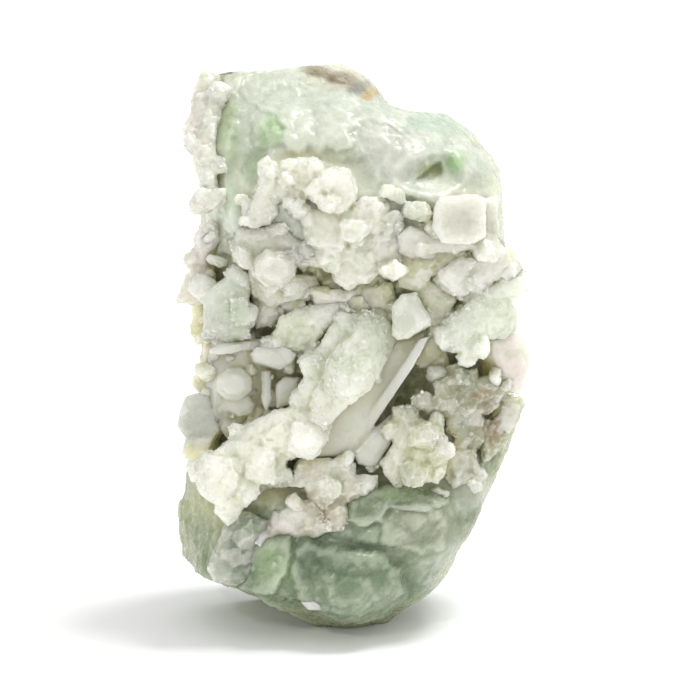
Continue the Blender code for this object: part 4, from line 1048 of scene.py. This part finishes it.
                front=-15.0, back=-6.0, lean=(0.0, -0.2), bevel=1.0, cover=1.5, seed=12,
            ),
            dict(
                slab=[(259, 300), (270, 298), (280, 303), (279, 316), (272, 328), (257, 329), (254, 318)],
                front=-13.0, back=-5.0, lean=(0.0, 0.0), bevel=0.9,
            ),
        ],
    ),
    "upperCluster": dict(
        node="upper_crystal_cluster", slot="white_crystal", finish="softStone",
        tint=dict(base="frost", patches=[((306, 238), (8, 6), "rose", 0.8), ((388, 284), (6, 4), "rust", 0.7)]),
        shapes=[
            dict(
                slab=[(258, 176), (272, 172), (288, 180), (290, 196), (284, 203), (276, 204), (278, 215), (270, 226),
                      (256, 227), (249, 222), (247, 214), (252, 202), (256, 190)],
                front=-18.6, back=-9.0, lean=(0.0, 0.0), bevel=1.4, cover=1.5, seed=13,
            ),
            dict(
                slab=[(268, 176), (282, 163), (300, 158), (316, 165), (322, 178), (316, 190), (308, 200), (295, 206),
                      (286, 196)],
                front=-18.0, back=-8.0, lean=(0.0, 0.1), bevel=1.6, cover=1.5, seed=14,
            ),
            dict(
                slab=[(302, 192), (311, 184), (321, 173), (336, 168), (350, 172), (356, 184), (357, 201), (348, 212),
                      (338, 217), (328, 213), (311, 204)],
                front=-20.8, back=-9.0, lean=(0.1, 0.0), bevel=1.8,
            ),
            dict(prism=((332, 190), -14.0), tip=((329, 211), -24.5), wide=6.0, thick=5.0, sides=6, point=0.5, end=0.15),
            dict(
                slab=[(296, 212), (312, 210), (330, 212), (346, 214), (354, 226), (348, 244), (338, 256), (322, 252),
                      (306, 246), (301, 232)],
                front=-19.0, back=-9.0, lean=(0.0, 0.1), bevel=1.6, cover=1.5, seed=15,
            ),
            dict(
                slab=[(350, 212), (362, 198), (384, 198), (392, 212), (396, 228), (380, 236), (362, 238), (350, 232)],
                front=-18.6, back=-8.0, lean=(0.1, 0.0), bevel=1.5, cover=1.5, seed=16,
            ),
            dict(
                slab=[(298, 248), (308, 244), (334, 252), (344, 258), (338, 271), (312, 267), (297, 259)],
                front=-17.4, back=-7.0, lean=(0.0, -0.2), bevel=1.4, cover=1.5, seed=17,
            ),
            dict(
                slab=[(328, 264), (346, 242), (368, 230), (392, 232), (404, 246), (398, 262), (380, 268), (372, 280),
                      (350, 292), (333, 284)],
                front=-17.6, back=-6.0, lean=(0.0, -0.12), bevel=1.6, cover=1.5, seed=18,
            ),
            dict(
                slab=[(382, 266), (396, 262), (405, 266), (408, 272), (404, 277), (394, 282), (383, 277), (378, 272)],
                front=-21.0, back=-8.0, lean=(0.0, 0.0), bevel=0.9,
            ),
        ],
    ),
    "rightBlock": dict(
        rough=0.4,
        node="right_block", slot="white_crystal", finish="softStone",
        tint=dict(base="frost", paint=0.68, glassy=0.3, crystals=7.0),
        shapes=[
            dict(
                slab=[(440, 197), (478, 195), (487, 200), (486, 238), (470, 246), (442, 244), (432, 230), (434, 208)],
                front=-20.8, back=-6.0, lean=(0.05, 0.05), bevel=1.0,
            ),
            dict(
                slab=[(484, 199), (498, 196), (499, 240), (485, 247)],
                front=-15.0, back=2.0, tuck=-4.0, lean=(0.5, 0.0), bevel=0.8,
            ),
            dict(
                slab=[(396, 234), (410, 226), (436, 236), (470, 240), (486, 249), (455, 254), (436, 255), (411, 261),
                      (397, 254)],
                front=-18.2, back=-7.0, lean=(0.0, -0.15), bevel=1.3, cover=1.5, seed=19,
            ),
        ],
    ),
    "rightTongue": dict(
        node="right_tongue", slot="white_crystal", finish="softStone",
        tint=dict(base="white"),
        shapes=[
            dict(
                slab=[(438, 280), (440, 271), (455, 260), (486, 249), (498, 240), (506, 248), (511, 258), (514, 272),
                      (512, 281), (490, 286), (475, 291), (467, 296), (455, 295), (446, 290)],
                front=-16.0, back=3.0, tuck=-7.0, lean=(0.4, 0.05), bevel=1.7, cover=1.5, seed=20,
            ),
            dict(lump=((494, 262), -9.5), size=(3.4, 4.6, 3.6), turn=10, seed=29),
        ],
    ),
    "rightCoat": dict(
        node="right_coat", slot="white_crystal", finish="softStone",
        tint=dict(base="frostMint", paint=0.86),
        shapes=[
            dict(
                slab=[(451, 314), (447, 319), (444, 327), (449, 339), (450, 350), (457, 353), (480, 353), (489, 342),
                      (510, 337), (520, 330), (520, 322), (515, 311), (511, 300), (514, 291), (505, 284), (475, 291),
                      (461, 311)],
                front=-15.2, back=2.0, tuck=-7.0, lean=(0.4, 0.05), bevel=1.6, cover=1.5, seed=21,
            ),
            dict(
                slab=[(457, 345), (460, 365), (475, 365), (480, 345)],
                front=-15.6, back=-5.0, lean=(0.2, 0.0), bevel=0.7,
            ),
        ],
    ),
    "pinkKnob": dict(
        rough=0.35,
        node="pink_knob", slot="pink_crystal", finish="softStone",
        tint=dict(base="shell", paint=0.86),
        shapes=[
            dict(
                slab=[(510, 332), (521, 336), (529, 352), (532, 360), (530, 370), (524, 389), (520, 396), (510, 394),
                      (502, 383), (496, 365), (491, 357), (490, 340)],
                front=-11.5, back=6.0, tuck=-9.0, lean=(0.35, 0.0), bevel=1.4,
            ),
        ],
    ),
    "rightShelf": dict(
        node="right_shelf_crystals", slot="green_crystal", finish="milkyClear",
        tint=dict(base="beige", patches=[((510, 416), (12, 16), "frost", 0.9), ((492, 428), (10, 22), "rust", 0.5), ((486, 420), (7, 6), "brown", 0.8), ((480, 398), (14, 6), "rust", 0.4)]),
        shapes=[
            dict(
                slab=[(423, 402), (434, 394), (434, 383), (450, 373), (478, 370), (479, 380), (496, 377), (507, 396),
                      (480, 407), (462, 409), (455, 412), (442, 414), (429, 409)],
                front=-13.8, back=-3.0, lean=(0.25, 0.05), bevel=1.3, cover=1.5, seed=22,
            ),
            dict(
                slab=[(428, 336), (440, 332), (448, 352), (451, 376), (437, 376), (414, 365), (419, 354)],
                front=-10.6, back=-3.0, lean=(0.0, 0.0), bevel=0.9,
            ),
            dict(
                slab=[(448, 408), (462, 404), (478, 402), (484, 420), (486, 440), (478, 452), (462, 456), (452, 448),
                      (455, 440), (446, 430)],
                front=-12.4, back=-4.0, lean=(0.2, 0.0), bevel=1.3, cover=1.5, seed=23,
            ),
            dict(
                slab=[(521, 399), (526, 407), (520, 421), (512, 440), (500, 452), (484, 462), (482, 430), (500, 414),
                      (506, 396)],
                front=-9.0, back=4.0, tuck=-6.0, lean=(0.4, 0.0), bevel=0.9,
            ),
            dict(
                slab=[(441, 466), (446, 485), (453, 490), (473, 484), (480, 470), (476, 448), (452, 452)],
                front=-13.4, back=-5.0, lean=(0.2, 0.0), bevel=1.2, cover=1.5, seed=24,
            ),
        ],
    ),
    "lowerLeftWindow": dict(
        rough=0.6,
        node="lower_left_window", slot="green_crystal", finish="milkyClear",
        tint=dict(base="greyPane", paint=0.7, patches=[((250, 533), (10, 8), "bright", 0.8)]),
        shapes=[
            dict(
                slab=[(221, 535), (226, 521), (235, 514), (251, 515), (266, 523), (270, 535), (262, 552), (258, 572),
                      (246, 584), (228, 588), (212, 582), (206, 570), (214, 552)],
                front=-20.6, back=-9.0, lean=(0.0, 0.12), bevel=1.5,
            ),
            dict(lump=((250, 533), -18.0), size=(3.6, 3.0, 3.2), turn=0, seed=33),
        ],
    ),
    "betweenCrystals": dict(
        rough=0.9, slot="green_prehnite", finish="softStone",
        tint=dict(base="lemon", paint=0.9, patches=[((350, 300), (34, 14), "shell", 0.6), ((440, 325), (18, 34), "window", 0.7), ((428, 258), (30, 14), "olive", 0.8), ((308, 290), (26, 16), "olive", 0.8),
            ((270, 320), (24, 24), "greyGreen", 0.7), ((405, 205), (20, 18), "paleMint", 0.8), ((256, 218), (24, 24), "white", 0.9),
            ((450, 470), (30, 12), "moss", 0.7), ((262, 500), (26, 12), "sand", 0.7)]),
        shapes=[
            dict(slab=[(240, 196), (262, 205), (300, 205), (300, 238), (244, 236)], front=-15.4, back=-6.0, lean=(0.0, 0.0), bevel=1.2, cover=1.1, sizes=(2.5, 5.0), seed=41),
            dict(slab=[(250, 286), (276, 284), (300, 296), (306, 306), (280, 316), (256, 330)], front=-12.6, back=-6.0, lean=(0.0, 0.0), bevel=1.2, cover=0.7, sizes=(3.0, 5.0), seed=42),
            dict(slab=[(300, 284), (345, 292), (392, 284), (396, 300), (392, 318), (345, 306), (316, 306)], front=-13.2, back=-6.0, lean=(0.0, 0.0), bevel=1.2, cover=0.9, sizes=(3.5, 5.5), seed=43),
            dict(slab=[(408, 276), (440, 284), (456, 300), (450, 318), (446, 340), (430, 336), (420, 300)], front=-14.4, back=-6.0, lean=(0.0, 0.0), bevel=1.2, cover=0.3, sizes=(3.5, 5.5), seed=44),
            dict(slab=[(384, 244), (410, 236), (452, 234), (472, 256), (440, 276), (402, 284), (386, 268)], front=-15.8, back=-6.0, lean=(0.0, 0.0), bevel=1.2, cover=0.4, sizes=(3.0, 5.0), seed=53),
            dict(slab=[(392, 192), (436, 200), (436, 232), (398, 232)], front=-18.4, cover=1.2, sizes=(2.5, 5.0), seed=45),
            dict(slab=[(202, 340), (250, 338), (300, 350), (300, 412), (262, 420), (214, 420), (206, 392)], front=-12.8, cover=1.0, sizes=(2.0, 4.6), seed=46),
            dict(slab=[(240, 484), (300, 482), (312, 500), (286, 510), (262, 512), (240, 508)], front=-15.0, back=-6.0, lean=(0.0, 0.0), bevel=1.2, cover=0.8, sizes=(2.5, 4.5), seed=47),
            dict(slab=[(356, 452), (380, 470), (444, 486), (478, 484), (470, 498), (420, 494), (366, 484)], front=-15.6, cover=1.2, sizes=(2.0, 4.0), seed=48),
            dict(slab=[(206, 236), (236, 240), (236, 276), (214, 280), (206, 270)], front=-12.0, cover=0.6, sizes=(2.0, 4.0), seed=49),
            dict(slab=[(440, 252), (500, 244), (500, 250), (450, 262)], front=-15.2, back=-6.0, lean=(0.0, 0.0), bevel=1.2, cover=0.5, sizes=(2.5, 4.0), seed=50),
            dict(slab=[(436, 366), (500, 366), (500, 400), (440, 400)], front=-12.8, cover=0.5, sizes=(2.5, 5.0), seed=51),
            dict(slab=[(470, 400), (518, 404), (506, 446), (476, 462)], front=-8.8, cover=0.3, sizes=(2.5, 5.0), seed=52),
        ],
    ),
    "smallWhiteCrystal": dict(
        rough=0.4,
        node="small_white_crystal", slot="white_crystal", finish="softStone",
        tint=dict(base="white"),
        shapes=[
            dict(
                slab=[(302, 594), (312, 590), (326, 592), (328, 602), (322, 612), (308, 611), (301, 603)],
                front=-21.5, back=-12.0, lean=(0.0, 0.0), bevel=0.8,
            ),
        ],
    ),
}


finishes = {
    "softStone": stoneMaterial("softStone", dict(cloud=0.08, grain=900.0, glint=0.12, soft=1.0, reach=0.0055, clear=0.0,
                                                 roughness=(0.14, 0.4), bump=0.08)),
    "grain": stoneMaterial("grain", dict(cloud=0.0, grain=700.0, glint=0.0, soft=0.0, clear=0.0, specular=0.6,
                                         roughness=(0.12, 0.35), bump=0.0)),
    "milkyClear": stoneMaterial("milkyClear", dict(cloud=0.08, grain=600.0, glint=0.08, soft=1.0, reach=0.006, clear=0.12,
                                                   roughness=(0.12, 0.35), bump=0.06)),
    "clearStone": stoneMaterial("clearStone", dict(cloud=0.06, grain=500.0, glint=0.05, soft=1.0, reach=0.005, clear=0.3,
                                                   roughness=(0.05, 0.2), bump=0.05, absorb=(240, 238, 228),
                                                   density=4.0)),
}
for clusterName, clusterSpec in clusters.items():
    cluster = makeCluster(clusterName, clusterSpec)
    dress(cluster, finishes[clusterSpec["finish"]], clusterSpec["slot"], *[clusterSpec[k] for k in ("node",) if k in clusterSpec])


# Painted shade in creases and crevices, painted highlights on edges and crests
# painted crevice shade: hollows lying behind the front around them get a warm khaki tone painted in, and parts standing
# proud of that front get a painted white highlight
paintedCreviceShade = dict(pixels=4, spread=5, start=0.6, to=5.0, colour="paintedCreviceShade", paint=1.05, crest=-1.6, crestPaintedHighlight="white")


def meanFront(pieces):
    # the nearest depth that shows in each small square of pixels, averaged over the squares around it
    side = view["side"] // paintedCreviceShade["pixels"] + 2
    nearest = np.full((side, side), 99.0)
    for points in pieces:
        square = np.clip((pixelOf(points) / paintedCreviceShade["pixels"]).astype(int), 0, side - 1)
        np.minimum.at(nearest, (square[:, 1], square[:, 0]), points[:, 1])
    known = (nearest < 99.0).astype(float)
    total = nearest * known
    for axis in (0, 1):
        steps = range(-paintedCreviceShade["spread"], paintedCreviceShade["spread"] + 1)
        total = sum(np.roll(total, step, axis=axis) for step in steps)
        known = sum(np.roll(known, step, axis=axis) for step in steps)
    return total / np.maximum(known, 1e-6)


def readMap(values, places):
    # the map's value at each place between its squares' middles
    place = np.clip(places / paintedCreviceShade["pixels"] - 0.5, 0.0, values.shape[0] - 2.001)
    column, row = place.astype(int).T
    right, down = (place - place.astype(int)).T
    upper = values[row, column] * (1 - right) + values[row, column + 1] * right
    lower = values[row + 1, column] * (1 - right) + values[row + 1, column + 1] * right
    return upper * (1 - down) + lower * down


finished = {}
def edgeMeasure(mesh, points, normals, rounds):
    # how far each point stands out of the skin around it, once that is smoothed: more than 0 on edges and tips
    pairs = np.empty(len(mesh.edges) * 2, np.int32)
    mesh.edges.foreach_get("vertices", pairs)
    a, b = pairs.reshape(-1, 2).T
    count = len(points)
    ends = np.maximum(np.bincount(a, minlength=count) + np.bincount(b, minlength=count), 1)
    smooth = points.copy()
    for _ in range(rounds):
        smooth = np.stack([
            (np.bincount(a, smooth[b, k], count) + np.bincount(b, smooth[a, k], count)) / ends for k in range(3)
        ], axis=-1)
    return ((points - smooth) * normals).sum(axis=-1)


def mixed(tint, name, weight):
    return tint + (linear(palette[name]) * paint - tint) * weight[:, None]


frontMap = meanFront([points for _, points, _, _ in coloured])
for piece, points, tint, share in coloured:
    normals = meshArrays(piece.data)[1]
    edge = edgeMeasure(piece.data, points, normals, 7)
    # painted highlight and painted shade: edges and tips are lightened and whitened, creases darkened and given a khaki
    # tone
    tint = tint * (1 + np.clip(edge, -0.2, 0.2) * 0.25)[:, None]
    tint = mixed(tint, "paintedCreaseShade", smoothStep(-0.02, -0.2, edge) * 0.15 * share)
    tint = mixed(tint, "white", smoothStep(0.03, 0.16, edge) * 0.55 * share)
    behind = points[:, 1] - readMap(frontMap, pixelOf(points))
    onFront = smoothStep(14.0, 4.0, points[:, 1]) * smoothStep(0.0, -0.5, normals[:, 1])
    # painted crevice shade in hollows behind the front, and a painted white highlight on crests in front of it
    creviceShadeWeight = (smoothStep(paintedCreviceShade["start"], paintedCreviceShade["to"], behind) * 0.9 * share * onFront)[:, None]
    crestHighlightWeight = (smoothStep(0.0, paintedCreviceShade["crest"], behind) * 0.35 * share * onFront)[:, None]
    tint = tint * (1 - crestHighlightWeight) + linear(palette[paintedCreviceShade["crestPaintedHighlight"]]) * paint * crestHighlightWeight
    tint = tint * (1 - creviceShadeWeight) + linear(palette[paintedCreviceShade["colour"]]) * paintedCreviceShade["paint"] * creviceShadeWeight
    setTint(piece, tint)
    finished[piece.name] = (points, normals, tint, edge)
print("crevices coloured")


# Grains
grains = dict(size=(0.3, 0.9), perPiece=6500, sunk=0.4)
blockCorners = np.array([[x, y, z] for x in (-1, 1) for y in (-1, 1) for z in (-1, 1)], float)
blockSides = np.array([[0, 1, 3, 2], [4, 6, 7, 5], [0, 4, 5, 1], [2, 3, 7, 6], [0, 2, 6, 4], [1, 5, 7, 3]])


def makeGrains(name, hosts, count, seed):
    # small uneven blocks, each turned its own way and sunk into a random point of its host's skin
    rng = np.random.default_rng(seed)
    points = np.vstack([h[0] for h in hosts])
    normals = np.vstack([h[1] for h in hosts])
    tints = np.vstack([h[2] for h in hosts])
    edge = np.concatenate([h[3] for h in hosts])
    seen = (normals[:, 1] < 0.25) & (points[:, 1] < 4.0)
    patchy = smoothStep(-0.1, 0.5, layered(points, 5.0, seed, 2)) + 0.05
    chance = seen * patchy * (0.1 + smoothStep(0.0, 0.1, edge))
    chosen = rng.choice(len(points), count, replace=False, p=chance / chance.sum())
    turn = rng.normal(0.0, 1.0, (count, 3, 3))
    turn = np.linalg.qr(turn)[0]
    low, high = grains["size"]
    size = low + (high - low) * rng.random(count) ** 2.2
    shape = blockCorners[None] * rng.uniform(0.6, 1.0, (count, 1, 3)) * rng.uniform(0.72, 1.0, (count, 8, 1))
    places = points[chosen] - normals[chosen] * (size * grains["sunk"])[:, None]
    corners = places[:, None] + np.einsum("cij,cpj->cpi", turn, shape) * (size / 2)[:, None, None]
    corners = np.clip(corners, np.array(cadBox[0]) / mm, np.array(cadBox[1]) / mm)
    flipped = np.linalg.det(turn) < 0
    faces = np.where(flipped[:, None, None], blockSides[None, :, ::-1], blockSides[None])
    faces = faces + (np.arange(count) * 8)[:, None, None]
    tint = np.clip(tints[chosen] * rng.uniform(0.96, 1.06, (count, 1)), 0, 0.9)
    piece = putMesh(name, corners.reshape(-1, 3), faces.reshape(-1, 4))
    setTint(piece, np.repeat(tint, 8, axis=0))
    return piece


sugary = dict(upper=["upperCluster", "roundClearKnob", "leftTopCrust", "leftEdgeCrystals", "betweenCrystals"],
              middle=["diagonalBlade", "secondBlade", "lowerCentreCluster", "leftColumn"],
              right=["rightTongue", "rightCoat", "rightShelf", "lowerRightCluster"])
for part, (where, names) in enumerate(sugary.items()):
    druse = makeGrains(where + "Druse", [finished[n] for n in names], grains["perPiece"], 300 + part)
    dress(druse, finishes["grain"], "white_crystal")
    druse.data.polygons.foreach_set("use_smooth", [False] * len(druse.data.polygons))
    print(druse.name, len(druse.data.polygons), "faces")


# floor, light and camera
studio = dict(
    floorSide=4.0, floorColour=(0.97, 0.97, 0.97), sky=0.86, skyColour=(1.0, 1.0, 1.0),
    softLight=dict(strength=1.85, breadth=20.0, fromFront=-2.0, fromRight=20.0),
    sparkLight=dict(strength=0.3, breadth=3.0, fromFront=48.0, fromRight=-30.0),
)



def makeFloor():
    half = studio["floorSide"] / 2 / mm
    corners = np.array([[-half, -half, 0.0], [half, -half, 0.0], [half, half, 0.0], [-half, half, 0.0]])
    floor = putMesh("floor", corners, [[0, 1, 2, 3]])
    material = bpy.data.materials.new("palePaper")
    material.use_nodes = True
    shader = material.node_tree.nodes["Principled BSDF"]
    shader.inputs["Base Color"].default_value = (*studio["floorColour"], 1.0)
    shader.inputs["Roughness"].default_value = 0.9
    shader.inputs["Specular IOR Level"].default_value = 0.1
    floor.data.materials.append(material)


def makeSun(name, spec):
    # an even light from above, turned towards the front and the right
    lamp = bpy.data.lights.new(name, "SUN")
    lamp.energy = spec["strength"]
    lamp.angle = math.radians(spec["breadth"])
    light = bpy.data.objects.new(name, lamp)
    bpy.context.scene.collection.objects.link(light)
    light.rotation_euler = (math.radians(spec["fromFront"]), math.radians(spec["fromRight"]), 0.0)


def makeCamera():
    data = bpy.data.cameras.new("camera")
    data.sensor_width = view["sensor"]
    data.lens = view["sensor"] * focal / view["side"]
    data.clip_start = 0.01
    camera = bpy.data.objects.new("camera", data)
    bpy.context.scene.collection.objects.link(camera)
    camera.location = eye * mm
    camera.rotation_euler = (math.pi / 2 - view["tilt"], 0.0, 0.0)
    bpy.context.scene.camera = camera


makeFloor()
world = bpy.data.worlds.new("paleStudio")
world.use_nodes = True
world.node_tree.nodes["Background"].inputs["Color"].default_value = (*studio["skyColour"], 1.0)
world.node_tree.nodes["Background"].inputs["Strength"].default_value = studio["sky"]
bpy.context.scene.world = world
makeSun("softLight", studio["softLight"])
makeSun("sparkLight", studio["sparkLight"])
makeCamera()
bpy.context.scene.view_settings.view_transform = "Standard"
print("studio ready")
